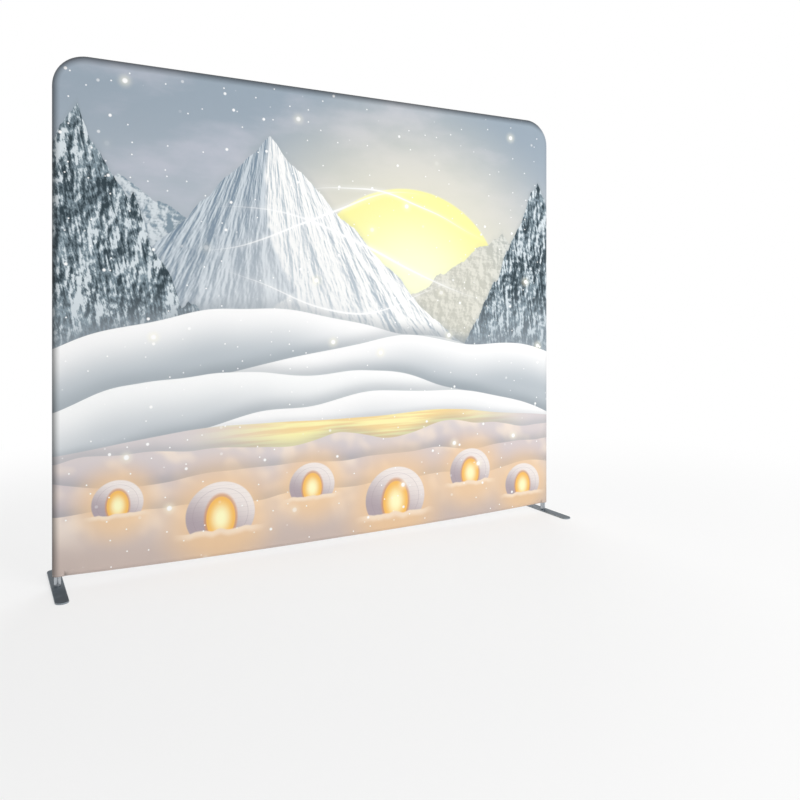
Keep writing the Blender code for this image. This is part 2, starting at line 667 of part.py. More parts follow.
def add_feet(plate_steel, post_steel, bolt_steel, plastic):
    """Both feet, each turning about its post in the bush at the end of its upright."""
    for side in (LEFT, RIGHT):
        word = SIDE_NAMES[side]
        axis = Vector((side * UPRIGHT_X, 0, 0))
        foot = add_empty(f"foot_{word}", axis)
        set_origin(foot_plate(f"foot_plate_{word}", axis, plate_steel), axis, foot)
        set_origin(foot_post(f"foot_post_{word}", axis, post_steel), axis, foot)
        set_origin(foot_bolt(f"foot_bolt_{word}", axis, bolt_steel), axis, foot)
        foot_bush(f"foot_bush_{word}", axis, plastic)


def add_case(print_cloth, plain_cloth, tape_cloth, nylon, zip_metal):
    """The cloth case with its flap and its zip, which lifts off the frame along Z."""
    pieces = [
        case_half("cover_front", -1, RAIL_HEIGHT, print_cloth),
        case_half("cover_back", 1, ZIP_Z + TAPE_START, plain_cloth),
        case_flap("cover_flap", print_cloth),
    ]
    tape_half = CHAIN_HALF + TAPE_TAIL
    for name, z_low in (("upper", ZIP_Z + TAPE_START), ("lower", ZIP_Z - TAPE_START - TAPE_WIDTH)):
        low = Vector((-tape_half, TAPE_Y, z_low))
        high = Vector((tape_half, TAPE_TOP_Y, z_low + TAPE_WIDTH))
        pieces.append(block(f"zip_tape_{name}", low, high, tape_cloth))
    low = Vector((-CHAIN_HALF, TAPE_Y, ZIP_Z - CHAIN_EDGE))
    high = Vector((CHAIN_HALF, CHAIN_TOP_Y, ZIP_Z + CHAIN_EDGE))
    pieces.append(block("zip_teeth", low, high, nylon))
    for side in (LEFT, RIGHT):
        middle = Vector((side * (CHAIN_HALF + FIT_GAP + STOP_LENGTH / 2), TAPE_TOP_Y + FIT_GAP, ZIP_Z))
        half = Vector((STOP_LENGTH / 2, 0, CHAIN_EDGE + STOP_OVERHANG))
        high = middle + half + Y_AXIS * (CHAIN_TOP_Y - TAPE_TOP_Y)
        pieces.append(block(f"zip_stop_{SIDE_NAMES[side]}", middle - half, high, zip_metal))
    cover = add_empty("cover", ORIGIN)
    for piece in pieces:
        piece.parent = cover
    slider, pivot = zip_slider("zip_slider", FIT_GAP - CHAIN_HALF, zip_metal)
    set_origin(slider, pivot, cover)
    set_origin(zip_pull("zip_pull", pivot, zip_metal), pivot, slider)


def main():
    for obj in list(bpy.data.objects):
        bpy.data.objects.remove(obj)
    aluminium = finish("satin aluminium", (0.62, 0.63, 0.64), 0.35, 0.9)
    plastic = finish("grey plastic", (0.45, 0.46, 0.47), 0.6, 0.0)
    button_steel = finish("button steel", (0.70, 0.70, 0.70), 0.25, 1.0)
    spring_steel = finish("spring steel", (0.45, 0.46, 0.48), 0.4, 1.0)
    plate_steel = finish("dark foot steel", (0.13, 0.15, 0.17), 0.45, 0.5)
    post_steel = finish("post steel", (0.60, 0.62, 0.64), 0.35, 0.9)
    print_cloth = finish("printed cloth", (0.66, 0.69, 0.73), 0.9, 0.0)
    plain_cloth = finish("plain cloth", (0.85, 0.85, 0.84), 0.9, 0.0)
    tape_cloth = finish("zip tape", (0.75, 0.75, 0.75), 0.9, 0.0)
    nylon = finish("zip nylon", (0.80, 0.80, 0.80), 0.5, 0.0)
    zip_metal = finish("zip metal", (0.65, 0.65, 0.66), 0.3, 1.0)
    add_frame(aluminium, plastic, button_steel, spring_steel)
    add_feet(plate_steel, post_steel, button_steel, plastic)
    add_case(print_cloth, plain_cloth, tape_cloth, nylon, zip_metal)


main()
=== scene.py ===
"""Pop-up fabric backdrop: a tube frame on two flat feet, inside a printed cloth case with a zip."""
import json
import math

import bmesh
import bpy
import numpy as np
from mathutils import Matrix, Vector


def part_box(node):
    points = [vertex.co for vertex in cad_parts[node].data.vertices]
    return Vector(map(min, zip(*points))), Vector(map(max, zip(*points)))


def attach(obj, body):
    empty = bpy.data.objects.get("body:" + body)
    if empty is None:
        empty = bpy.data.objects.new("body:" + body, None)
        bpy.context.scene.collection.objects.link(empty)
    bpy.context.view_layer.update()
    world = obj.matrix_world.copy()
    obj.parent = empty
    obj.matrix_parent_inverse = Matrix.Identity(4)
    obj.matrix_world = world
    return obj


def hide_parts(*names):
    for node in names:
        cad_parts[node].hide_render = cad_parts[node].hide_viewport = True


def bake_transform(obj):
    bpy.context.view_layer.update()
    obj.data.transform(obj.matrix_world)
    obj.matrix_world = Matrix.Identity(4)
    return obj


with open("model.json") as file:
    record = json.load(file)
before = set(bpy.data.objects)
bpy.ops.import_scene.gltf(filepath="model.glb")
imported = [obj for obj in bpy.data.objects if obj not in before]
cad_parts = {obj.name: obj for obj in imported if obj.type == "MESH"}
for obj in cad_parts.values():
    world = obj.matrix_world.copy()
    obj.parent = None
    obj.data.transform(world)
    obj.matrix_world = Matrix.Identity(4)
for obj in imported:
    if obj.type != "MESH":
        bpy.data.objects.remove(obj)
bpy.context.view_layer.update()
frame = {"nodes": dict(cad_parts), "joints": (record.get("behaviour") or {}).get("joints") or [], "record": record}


# ----------------------------------------
# Tubes of the frame: uprights, rails, bent top corners and welded bottom corners.
# Extruded aluminium, satin anodised. Die lines run along every tube, and the ends that are
# pushed into each other at each set-up have rubbed brighter.


def paint(hex_colour):
    """A colour written as on paper, in the renderer's linear numbers."""
    parts = [int(hex_colour[i : i + 2], 16) / 255 for i in (0, 2, 4)]
    return (*[((c + 0.055) / 1.055) ** 2.4 if c > 0.04045 else c / 12.92 for c in parts], 1.0)


class Wire:
    """A number, colour or vector on its way between two nodes."""

    def __init__(self, board, socket):
        self.board, self.socket = board, socket

    def beside(self, name):
        """Another output of the node that this one comes from."""
        return Wire(self.board, self.socket.node.outputs[name])

    def __add__(self, other):
        return self.board.maths("ADD", self, other)

    def __sub__(self, other):
        return self.board.maths("SUBTRACT", self, other)

    def __rsub__(self, other):
        return self.board.maths("SUBTRACT", other, self)

    def __mul__(self, other):
        return self.board.maths("MULTIPLY", self, other)

    def __truediv__(self, other):
        return self.board.maths("DIVIDE", self, other)

    def __pow__(self, other):
        return self.board.maths("POWER", self, other)

    def __abs__(self):
        return self.board.maths("ABSOLUTE", self)

    __radd__ = __add__
    __rmul__ = __mul__


class Board:
    """A tree of nodes while it is being wired."""

    def __init__(self, tree):
        self.tree = tree

    def node(self, kind, settings=None, sockets=None, out=0):
        """Adds a node, sets it up, fills or links its sockets, and gives one of its outputs."""
        made = self.tree.nodes.new(kind)
        for name, value in (settings or {}).items():
            if name == "stops":
                ramp = made.color_ramp.elements
                while len(ramp) < len(value):
                    ramp.new(1.0)
                for stop, (place, colour) in zip(ramp, value):
                    stop.position, stop.color = place, colour
            else:
                setattr(made, name, value)
        for name, value in (sockets or {}).items():
            if isinstance(value, Wire):
                self.tree.links.new(value.socket, made.inputs[name])
            else:
                made.inputs[name].default_value = value
        return Wire(self, made.outputs[out])

    def maths(self, operation, *values):
        return self.node("ShaderNodeMath", {"operation": operation}, dict(enumerate(values)))

    def mix(self, under, over, share):
        """Colour over laid on colour under by a share. A fixed colour is written as on paper."""
        under, over = [paint(colour) if isinstance(colour, str) else colour for colour in (under, over)]
        return self.node(
            "ShaderNodeMix", {"data_type": "RGBA", "clamp_factor": True}, {0: share, 6: under, 7: over}, 2
        )

    def rise(self, value, low, high):
        """Smooth step from 0 at low to 1 at high, whichever is the greater."""
        return self.node(
            "ShaderNodeMapRange", {"interpolation_type": "SMOOTHSTEP"}, {0: value, 1: low, 2: high}
        )

    def joined(self, x, y, z):
        return self.node("ShaderNodeCombineXYZ", {}, {0: x, 1: y, 2: z})

    def parts(self, vector):
        """The three numbers of a vector."""
        split = self.node("ShaderNodeSeparateXYZ", {}, {0: vector})
        return [Wire(self, socket) for socket in split.socket.node.outputs]

    def cloud(self, place, scale, detail=2.0, roughness=0.5, dimensions="3D"):
        """Fractal noise at a place, from 0 to 1."""
        return self.node(
            "ShaderNodeTexNoise", {"noise_dimensions": dimensions},
            {"Vector": place, "Scale": scale, "Detail": detail, "Roughness": roughness},
        )

    def wander(self, value, scale, detail=2.0):
        """Noise along one line, from -1 to 1."""
        return 2 * self.node(
            "ShaderNodeTexNoise", {"noise_dimensions": "1D"}, {"W": value, "Scale": scale, "Detail": detail}
        ) - 1


class Finish(Board):
    """One material, its Principled shader and the place on the piece, in metres."""

    def __init__(self, name, **fixed):
        self.material = bpy.data.materials.new(name)
        self.material.use_nodes = True
        super().__init__(self.material.node_tree)
        self.shader = self.tree.nodes["Principled BSDF"]
        for socket, value in fixed.items():
            self.shader.inputs[socket.replace("_", " ")].default_value = value
        self.place = self.node("ShaderNodeTexCoord", out="Object")
        self.x, self.y, self.z = self.parts(self.place)

    def feed(self, socket, wire):
        self.tree.links.new(wire.socket, self.shader.inputs[socket])

    def bump(self, height, depth, strength=1.0, under=None):
        """Relief of a height from 0 to 1 over a depth in metres."""
        sockets = {"Strength": strength, "Distance": depth, "Height": height}
        if under:
            sockets["Normal"] = under
        return self.node("ShaderNodeBump", {}, sockets)


TUBE_RADIUS = 0.019
UPRIGHT_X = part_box("upright_lower_right")[1].x - TUBE_RADIUS
TOP_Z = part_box("top_rail_left")[1].z - TUBE_RADIUS
RAIL_Z = 0.068
CORNER_RADIUS = 0.111
CORNER_X, CORNER_Z = UPRIGHT_X - CORNER_RADIUS, TOP_Z - CORNER_RADIUS
BEND_STEPS, ALONG_BEND = 8, 0.8
ROUND_MATCH, ROUND_LEAST = 0.95, 0.2
EDGE_ANGLE = math.radians(35)
SAME_SPOT, HAIR = 1e-6, 1e-5
BODY_OF = {node: body for body, nodes in frame["record"]["behaviour"]["bodies"].items() for node in nodes}


def frame_line(spot):
    """Nearest point and direction of the line through the middle of the uprights and the top."""
    side = math.copysign(1, spot.x)
    if spot.z <= CORNER_Z:
        return Vector((side * UPRIGHT_X, 0, spot.z)), Vector((0, 0, 1))
    if abs(spot.x) <= CORNER_X:
        return Vector((spot.x, 0, TOP_Z)), Vector((1, 0, 0))
    middle = Vector((side * CORNER_X, 0, CORNER_Z))
    way = Vector((spot.x - middle.x, 0, spot.z - middle.z)).normalized()
    return middle + way * CORNER_RADIUS, Vector((-way.z, 0, way.x))


def straight(place, way):
    """A straight middle line through a place."""
    place, way = Vector(place), Vector(way).normalized()
    return lambda spot: (place, way)


def round_normal(spot, flat, lines):
    """Direction of a round face at one of its corners, from the line that the face turns about."""
    best, found = ROUND_MATCH, flat
    for line in lines:
        middle, way = line(spot)
        out = spot - middle
        out = (out - way * out.dot(way)).normalized()
        lean = flat.dot(way)
        across = flat - way * lean
        match = across.normalized().dot(out)
        if across.length > ROUND_LEAST and abs(match) > best:
            best, found = abs(match), way * lean + out * math.copysign(across.length, match)
    return found


def finer_bend(bm):
    """Cuts each step of a bent corner in four, with the new points out on the true bend."""
    for halving in (1, 2):
        steps = []
        for edge in bm.edges:
            first, last = (vert.co for vert in edge.verts)
            bent = all(abs(end.x) > CORNER_X - HAIR and end.z > CORNER_Z - HAIR for end in (first, last))
            along = (last - first).normalized().dot(frame_line((first + last) / 2)[1])
            if bent and abs(along) > ALONG_BEND:
                steps.append(edge)
        grow = 1 / math.cos(math.pi / 4 / BEND_STEPS / halving)
        for made in bmesh.ops.subdivide_edges(bm, edges=steps, cuts=1)["geom_inner"]:
            if isinstance(made, bmesh.types.BMVert):
                middle_x = math.copysign(CORNER_X, made.co.x)
                made.co.x = middle_x + (made.co.x - middle_x) * grow
                made.co.z = CORNER_Z + (made.co.z - CORNER_Z) * grow


def placed(name, data, *finishes):
    """Puts a mesh with its finishes, a lamp or a camera into the scene."""
    for finish in finishes:
        data.materials.append(finish.material)
    piece = bpy.data.objects.new(name, data)
    bpy.context.scene.collection.objects.link(piece)
    return piece


def stand_in(node, name, finish, reshape=None):
    """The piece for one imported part: a copy of its mesh, merged, reshaped and given a finish."""
    mesh = frame["nodes"][node].data.copy()
    mesh.name = name
    bm = bmesh.new()
    bm.from_mesh(mesh)
    bmesh.ops.remove_doubles(bm, verts=bm.verts, dist=SAME_SPOT)
    if reshape:
        reshape(bm)
    bm.to_mesh(mesh)
    bm.free()
    mesh.shade_smooth()
    mesh.materials.clear()
    piece = placed(name, mesh, finish)
    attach(piece, BODY_OF[node])
    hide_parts(node)
    return piece


def finished(node, name, finish, lines, reshape=None):
    """A stand-in with its round faces shaded round about their middle lines."""
    mesh = stand_in(node, name, finish, reshape).data
    mesh.set_sharp_from_angle(angle=EDGE_ANGLE)
    ways = []
    for face in mesh.polygons:
        for corner in face.loop_indices:
            spot = mesh.vertices[mesh.loops[corner].vertex_index].co
            ways.append(round_normal(spot, face.normal, lines))
    mesh.normals_split_custom_set(ways)


SIDES = ("left", "right")
LIGHT_ALUMINIUM, DULL_ALUMINIUM, RUBBED_ALUMINIUM = "bfc0c1", "a3a5a7", "d8d8d8"
DIE_LINE_PITCH, TUBE_STRETCH = 1100.0, 1.5
RUB_END, RUB_CORE = 0.030, 0.004


def aluminium(name, along, rub_places=()):
    """Satin anodised tube. along is the axis that its die lines follow, and rub_places are where
    its ends slide into the next tube."""
    made = Finish(name, Metallic=0.95, Coat_Roughness=0.3)
    scales = [TUBE_STRETCH if axis == along else DIE_LINE_PITCH for axis in "xyz"]
    stretched = made.joined(made.x * scales[0], made.y * scales[1], made.z * scales[2])
    lines = made.cloud(stretched, 1.0, 3.0, 0.6)
    bloom = made.cloud(made.place, 9.0, 3.0)
    here = made.x if along == "x" else made.z
    rubbed = 0.0
    for place in rub_places:
        rubbed = rubbed + made.rise(abs(here - place), RUB_END, RUB_CORE)
    rubbed = rubbed * made.rise(lines, 0.35, 0.6)
    tone = made.mix(DULL_ALUMINIUM, LIGHT_ALUMINIUM, 0.35 * lines + 0.65 * bloom)
    made.feed("Base Color", made.mix(tone, RUBBED_ALUMINIUM, 0.5 * rubbed))
    made.feed("Roughness", 0.34 + 0.10 * bloom + 0.06 * lines - 0.10 * rubbed)
    made.feed("Normal", made.bump(lines, 0.00004, 0.6))
    return made


upright_joints = [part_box("upright_lower_left")[i].z for i in (0, 1)] + [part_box("upright_upper_left")[1].z]
rail_joints = [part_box("top_rail_left")[0].x, 0.0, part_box("top_rail_right")[1].x]
bottom_line = straight((0, 0, RAIL_Z), (1, 0, 0))
for side in SIDES:
    along_upright = aluminium(f"upright_{side}", "z", upright_joints)
    along_rail = aluminium(f"rail_{side}", "x", rail_joints)
    bent = aluminium(f"corner_{side}", "none")
    for node, name, finish, lines, reshape in (
        ("upright_lower", "tube_lower", along_upright, [frame_line], None),
        ("upright_upper", "tube_upper", along_upright, [frame_line], None),
        ("top_rail", "tube_top", along_rail, [frame_line], None),
        ("bottom_rail", "tube_bottom", along_rail, [bottom_line], None),
        ("top_corner", "bend", bent, [frame_line], finer_bend),
        ("bottom_corner", "tee", bent, [frame_line, bottom_line], None),
    ):
        finished(f"{node}_{side}", f"{name}_{side}", finish, lines, reshape)


# ----------------------------------------
# Weld beads where the stubs of the bottom corners meet the uprights, laid in small overlapping
# puddles. At the front and back they are ground nearly flush, so that the cloth lies flat.

BEAD_RADIUS, BEAD_GROUND, BEAD_SWELL = 0.0019, 0.0006, 0.8
BEAD_SIDES, BEAD_START, BEAD_SUNK = 8, 0.22, 0.013
PUDDLES, PUDDLE = 46, (0.84, 1.0, 1.05, 0.97)
BEAD_STEPS = PUDDLES * len(PUDDLE)


def grained(name, under, over, grain, roughness, relief=None, **fixed):
    """A finish of two tones in one fine grain, which also changes its roughness and relief."""
    made = Finish(name, **fixed)
    specks = made.cloud(made.place, *grain)
    made.feed("Base Color", made.mix(under, over, specks))
    made.feed("Roughness", roughness[0] + roughness[1] * specks)
    if relief:
        made.feed("Normal", made.bump(specks, *relief))
    return made


def ring_piece(name, rings, finish, closed=False):
    """A piece laid over rings of points, which run on into the first ring or end in caps."""
    wide, count = len(rings[0]), len(rings)
    faces = []
    for k in range(count if closed else count - 1):
        here, there = k * wide, (k + 1) % count * wide
        faces += [(here + j, here + (j + 1) % wide, there + (j + 1) % wide, there + j) for j in range(wide)]
    if not closed:
        faces += [tuple(range(wide)), tuple(range((count - 1) * wide, count * wide))]
    mesh = bpy.data.meshes.new(name)
    mesh.from_pydata([tuple(point) for ring in rings for point in ring], [], faces)
    bm = bmesh.new()
    bm.from_mesh(mesh)
    bmesh.ops.recalc_face_normals(bm, faces=bm.faces)
    bm.to_mesh(mesh)
    bm.free()
    return placed(name, mesh, finish)


weld = grained(
    "weld_aluminium", "b9babb", "949698", (900.0, 3.0), (0.38, 0.16), (0.00004, 0.6), Metallic=0.9
)
for side, inwards in (("left", 1), ("right", -1)):
    line = []
    for k in range(BEAD_STEPS):
        angle = 2 * math.pi * k / BEAD_STEPS
        front, up = math.cos(angle), math.sin(angle)
        reach = inwards * (abs(up) ** 3 + BEAD_START ** 3) ** (1 / 3)
        spot = Vector((reach, front * (1 - BEAD_SUNK * (1 - abs(up))), up)) * TUBE_RADIUS
        out = Vector((reach, 2 * front, up)).normalized()
        proud = BEAD_RADIUS * PUDDLE[k % len(PUDDLE)] - BEAD_GROUND
        line.append((spot, out, BEAD_GROUND + proud * abs(up) ** BEAD_SWELL))
    crossing = Vector((-inwards * UPRIGHT_X, 0, RAIL_Z))
    turns = [2 * math.pi * j / BEAD_SIDES for j in range(BEAD_SIDES)]
    rings = []
    for k, (spot, out, radius) in enumerate(line):
        across = (line[(k + 1) % len(line)][0] - line[k - 1][0]).cross(out).normalized()
        ways = [out * math.cos(turn) + across * math.sin(turn) for turn in turns]
        rings.append([crossing + spot + way * radius for way in ways])
    bead = ring_piece(f"weld_{side}", rings, weld, closed=True)
    bead.data.shade_smooth()
    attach(bead, "frame")


# ----------------------------------------
# Snap buttons with the bent springs behind them, one at every tube joint.
# Turned steel pins with a bright worn dome, on strips of blue-grey spring steel.

pin = grained(
    "snap_button_steel", "c9c9c8", "a3a4a6", (900.0, 2.0), (0.20, 0.18), (0.00003, 0.5), Metallic=1.0
)
strip = grained(
    "spring_strip_steel", "8d949c", "6b7178", (400.0, 3.0), (0.34, 0.14), (0.00003, 0.4), Metallic=1.0
)
STRIP_THICKNESS, STRIP_BEND, STRIP_STEP, STRIP_BEND_POINTS = 0.0006, 0.0035, 0.0025, 6
FOLD_GAP, FLEX_LEAN = 0.004, 0.35
FOLD_ANGLE = math.radians(50)


def strip_line(reach, tip, rise):
    """The strip's middle line seen from the side, as steps along the tube and out of it: the arm on
    the far wall, the round fold and the arm under the button."""
    fold = FOLD_GAP / 2
    corners = [(tip, -rise), (-tip, -rise), (-reach, -fold), (-reach, fold), (-tip, rise), (tip, rise)]
    corners = [Vector(corner) for corner in corners]
    line = [corners[0]]
    for before, corner, after in zip(corners, corners[1:], corners[2:]):
        legs = (before - corner, after - corner)
        ends = [corner + leg.normalized() * min(STRIP_BEND, leg.length / 2) for leg in legs]
        for share in np.linspace(0, 1, STRIP_BEND_POINTS):
            line.append(ends[0].lerp(corner, share).lerp(corner.lerp(ends[1], share), share))
    line.append(corners[-1])
    fine = []
    for first, last in zip(line, line[1:]):
        count = max(1, math.ceil((last - first).length / STRIP_STEP))
        fine += [first.lerp(last, k / count) for k in range(count)]
    return [*fine, line[-1]]


def spring_strip(name, joint):
    """One bent strip."""
    low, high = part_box(f"button_spring_{name}")
    button = sum(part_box(f"snap_button_{name}"), Vector()) / 2
    out, middle = -Vector(joint["axis"]), (low + high) / 2
    root = button - out * (button - middle).dot(out)
    along = (root - middle).normalized()
    across = along.cross(out)
    length, height, width = (abs((high - low).dot(way)) for way in (along, out, across))
    tip = length / 2 - (root - middle).length
    line = strip_line(length - tip - STRIP_THICKNESS / 2, tip, (height - STRIP_THICKNESS) / 2)
    rings = []
    for k, here in enumerate(line):
        way = (line[min(k + 1, len(line) - 1)] - line[max(k - 1, 0)]).normalized()
        side = Vector((-way.y, way.x)) * STRIP_THICKNESS / 2
        to_end = min((here - line[0]).length, (here - line[-1]).length) + STRIP_THICKNESS
        half = width / 2 * math.sqrt(max(0.0, 1 - max(0.0, 1 - to_end / (width / 2)) ** 2))
        ring = []
        for face, edge in ((1, 1), (1, -1), (-1, -1), (-1, 1)):
            spot = here + side * face
            ring.append(root + along * spot.x + out * spot.y + across * (edge * half))
        rings.append(ring)
    spring = ring_piece(f"spring_{name}", rings, strip)
    spring.data.shade_smooth()
    spring.data.set_sharp_from_angle(angle=FOLD_ANGLE)
    lean = out + along * FLEX_LEAN
    flex = lean * ((height / 2 - FLEX_LEAN * tip) / lean.length_squared)
    root - flex
    root + flex
    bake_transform(spring)
    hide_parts(f"button_spring_{name}")


for joint in frame["joints"]:
    if joint["name"].startswith("button_press_"):
        place = joint["name"].removeprefix("button_press_")
        spring_strip(place, joint)
        button_line = straight(sum(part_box(f"snap_button_{place}"), Vector()) / 2, joint["axis"])
        finished(f"snap_button_{place}", f"pin_{place}", pin, [button_line])


# ----------------------------------------
# Centre pole with its saddles, and the bushes in the ends of the uprights.
# The pole is thinner aluminium tube; saddles and bushes are moulded in grey nylon.

pole_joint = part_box("centre_pole_lower")[1].z
pole_tube = aluminium("centre_pole", "z", [pole_joint])
pole_line = straight((0, 0, 0), (0, 0, 1))
for half in ("lower", "upper"):
    finished(f"centre_pole_{half}", f"pole_{half}", pole_tube, [pole_line])

nylon = Finish("moulded_grey_nylon", Specular_IOR_Level=0.4)
mould_grain = nylon.cloud(nylon.place, 1500.0, 2.0)
mould_flow = nylon.cloud(nylon.place, 60.0, 3.0)
nylon.feed("Base Color", nylon.mix("7d7f81", "93959a", 0.6 * mould_flow + 0.4 * mould_grain))
nylon.feed("Roughness", 0.50 + 0.16 * mould_flow)
nylon.feed("Normal", nylon.bump(mould_grain, 0.00008, 0.7))
for end, height in (("bottom", RAIL_Z), ("top", TOP_Z)):
    hugged = straight((0, 0, height), (1, 0, 0))
    finished(f"pole_saddle_{end}", f"saddle_{end}", nylon, [pole_line, hugged])
for side in SIDES:
    finished(f"foot_bush_{side}", f"bush_{side}", nylon, [frame_line])


# ----------------------------------------
# Feet: flat steel plates with round ends, powder coated dark grey, each with a zinc plated post
# that is held by a countersunk bolt from below. The coat is scuffed along the rim and the ends.

for side in SIDES:
    low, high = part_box(f"foot_plate_{side}")
    middle_x, half_width = (low.x + high.x) / 2, (high.x - low.x) / 2
    round_start = (high.y - low.y) / 2 - half_width
    plate = Finish(f"powder_coat_{side}", Metallic=0.1, Specular_IOR_Level=0.32)
    grit = plate.cloud(plate.place, 1800.0, 2.0)
    peel = plate.cloud(plate.place, 420.0, 1.0)
    dust = plate.cloud(plate.place, 26.0, 4.0, 0.6)
    scuffs = plate.cloud(plate.joined(plate.x * 6.0, plate.y * 1.2, plate.z), 60.0, 4.0, 0.7)
    across = abs(plate.x - middle_x)
    beyond = plate.rise(abs(plate.y), round_start, round_start + 0.0001)
    end_y = abs(plate.y) - round_start
    out = (across * across + beyond * end_y * end_y) ** 0.5
    rim = plate.rise(out, half_width - 0.0024, half_width - 0.0004)
    worn = plate.rise(rim * 0.55 + scuffs * 0.75, 0.62, 0.95)
    scratch = plate.rise(scuffs, 0.68, 0.78)
    coat = plate.mix("2f3a42", "44515b", 0.5 * dust + 0.5 * grit)
    coat = plate.mix(coat, "6f7b84", 0.28 * plate.rise(dust, 0.50, 0.85))
    coat = plate.mix(coat, "9aa3aa", 0.8 * worn + 0.22 * scratch)
    plate.feed("Base Color", coat)
    plate.feed("Roughness", 0.46 + 0.14 * dust - 0.12 * worn)
    plate.feed("Normal", plate.bump(0.6 * peel + 0.4 * grit, 0.00009, 0.8))
    end_lines = [straight((middle_x, way * round_start, 0), (0, 0, 1)) for way in (-1, 1)]
    finished(f"foot_plate_{side}", f"plate_{side}", plate, end_lines)

zinc = Finish("zinc_plating", Metallic=1.0)
spangle = zinc.node("ShaderNodeTexVoronoi", {}, {"Vector": zinc.place, "Scale": 160.0}, "Color")
facets = zinc.parts(spangle)[0]
streaks = zinc.cloud(zinc.joined(zinc.x * 8.0, zinc.y * 8.0, zinc.z), 90.0, 3.0)
zinc.feed("Base Color", zinc.mix("c3c8cc", "a4a9af", 0.5 * facets + 0.5 * streaks))
zinc.feed("Roughness", 0.26 + 0.16 * facets)
zinc.feed("Normal", zinc.bump(streaks, 0.00004, 0.5))
for side in SIDES:
    finished(f"foot_post_{side}", f"post_{side}", zinc, [frame_line])
    finished(f"foot_bolt_{side}", f"bolt_{side}", zinc, [frame_line])


# ----------------------------------------
# Printed front of the cloth case, which goes on as the flap under the bottom rail up to the zip.
# Polyester stretch knit, dye printed. It is pulled flat over the tubes and rolls round them to a
# seam at the outer edge, and between the feet its bottom edge hangs a little slack.

CLOTH_THICKNESS = 0.0008
ROLL_RADIUS = 0.0201
SEAM_HALF_GAP, SEAM_DIP, DIP_ANGLE = 0.00015, 0.0009, 0.3
CASE_DEPTH = SEAM_HALF_GAP + ROLL_RADIUS
CASE_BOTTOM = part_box("cover_front")[0].z
FLAP_HALF, _, FLAP_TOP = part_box("cover_flap")[1]
FLAP_DROP, FLAP_SAG, FLAP_SAG_POWER, FLAP_TUCK = 0.007, 0.017, 2.5, 0.003
BACK_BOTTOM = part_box("zip_tape_upper")[0].z
TAPE_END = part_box("zip_tape_upper")[1].x
PANEL_COLUMNS, PANEL_ROWS, ARC_STEPS, ROLL_STEPS = 64, 56, 14, 9
FLAP_STEPS, FLAP_BACK_ROWS, TAB_ROWS = 18, 5, 7
EDGE_BLUR = 0.002


def case_stations(bottom):
    """Places up the left side, over the top and down the right, each with the way out there."""
    rows = np.linspace(bottom, CORNER_Z, PANEL_ROWS + 1)
    columns = np.linspace(-CORNER_X, CORNER_X, PANEL_COLUMNS + 1)

    def corner(side, start):
        turns = [start - math.pi / 2 * k / ARC_STEPS for k in range(ARC_STEPS)]
        ways = [(math.cos(turn), math.sin(turn)) for turn in turns]
        return [(side * CORNER_X + CORNER_RADIUS * x, CORNER_Z + CORNER_RADIUS * z, x, z) for x, z in ways]

    found = [(-UPRIGHT_X, z, -1, 0) for z in rows[:-1]] + corner(-1, math.pi)
    found += [(x, TOP_Z, 0, 1) for x in columns[:-1]] + corner(1, math.pi / 2)
    return rows, columns, found + [(UPRIGHT_X, z, 1, 0) for z in rows[::-1]]


def roll_section():
    """Steps across the cloth's margin: how far in from the tube's centre line, then round it."""
    flap_step = UPRIGHT_X - FLAP_HALF
    flats = [CORNER_RADIUS, 0.085, 0.060, 0.040, flap_step, 0.012, 0.0]
    section = [(-flat, ROLL_RADIUS) for flat in flats]
    for k in range(1, ROLL_STEPS + 1):
        angle = math.pi / 2 * (1 - k / ROLL_STEPS)
        radius = ROLL_RADIUS - SEAM_DIP * max(0.0, 1 - angle / DIP_ANGLE) ** 2
        section.append((radius * math.cos(angle), radius * math.sin(angle)))
    return section, flats.index(flap_step)


def cloth_sheet(name, patches, outside, inside):
    """Joins patches of points into one sheet with its thickness laid on the inner side."""
    mesh = bpy.data.meshes.new(name)
    points, faces = [], []
    for patch in patches:
        start, wide = len(points), len(patch[0])
        points += [tuple(p) for row in patch for p in row]
        for i in range(len(patch) - 1):
            for j in range(wide - 1):
                a = start + i * wide + j
                faces.append((a, a + 1, a + wide + 1, a + wide))
    mesh.from_pydata(points, [], faces)
    bm = bmesh.new()
    bm.from_mesh(mesh)
    bmesh.ops.remove_doubles(bm, verts=bm.verts, dist=SAME_SPOT)
    bmesh.ops.dissolve_degenerate(bm, edges=bm.edges, dist=SAME_SPOT / 10)
    bmesh.ops.recalc_face_normals(bm, faces=bm.faces)
    middle = min(bm.faces, key=lambda f: (f.calc_center_median() - Vector((0, 0, 1))).length)
    if middle.normal.y * middle.calc_center_median().y < 0:
        bmesh.ops.reverse_faces(bm, faces=bm.faces)
    bm.to_mesh(mesh)
    bm.free()
    mesh.shade_smooth()
    sheet = placed(name, mesh, outside, inside)
    wall = sheet.modifiers.new("thickness", "SOLIDIFY")
    wall.thickness, wall.offset = CLOTH_THICKNESS, -1
    wall.material_offset, wall.material_offset_rim = 1, 1
    return sheet


def case_patches(facing, bottom):
    """One half of the case: its flat middle, its margin rolled to the seam, and the two tabs
    beside the flap that reach down past the ends of the uprights."""
    rows, columns, stations = case_stations(bottom)
    section, tab_start = roll_section()
    section = [(out, facing * (SEAM_HALF_GAP + depth)) for out, depth in section]
    middle = [[(x, facing * CASE_DEPTH, z) for x in columns] for z in rows]
    margin = [
        [(x + way_x * out, y, z + way_z * out) for out, y in section] for x, z, way_x, way_z in stations
    ]
    tabs = [[
        [(way * (UPRIGHT_X + out), y, z) for out, y in section[tab_start:]]
        for z in np.linspace(CASE_BOTTOM, bottom, TAB_ROWS)
    ] for way in (-1, 1)]
    return [middle, margin, *tabs]


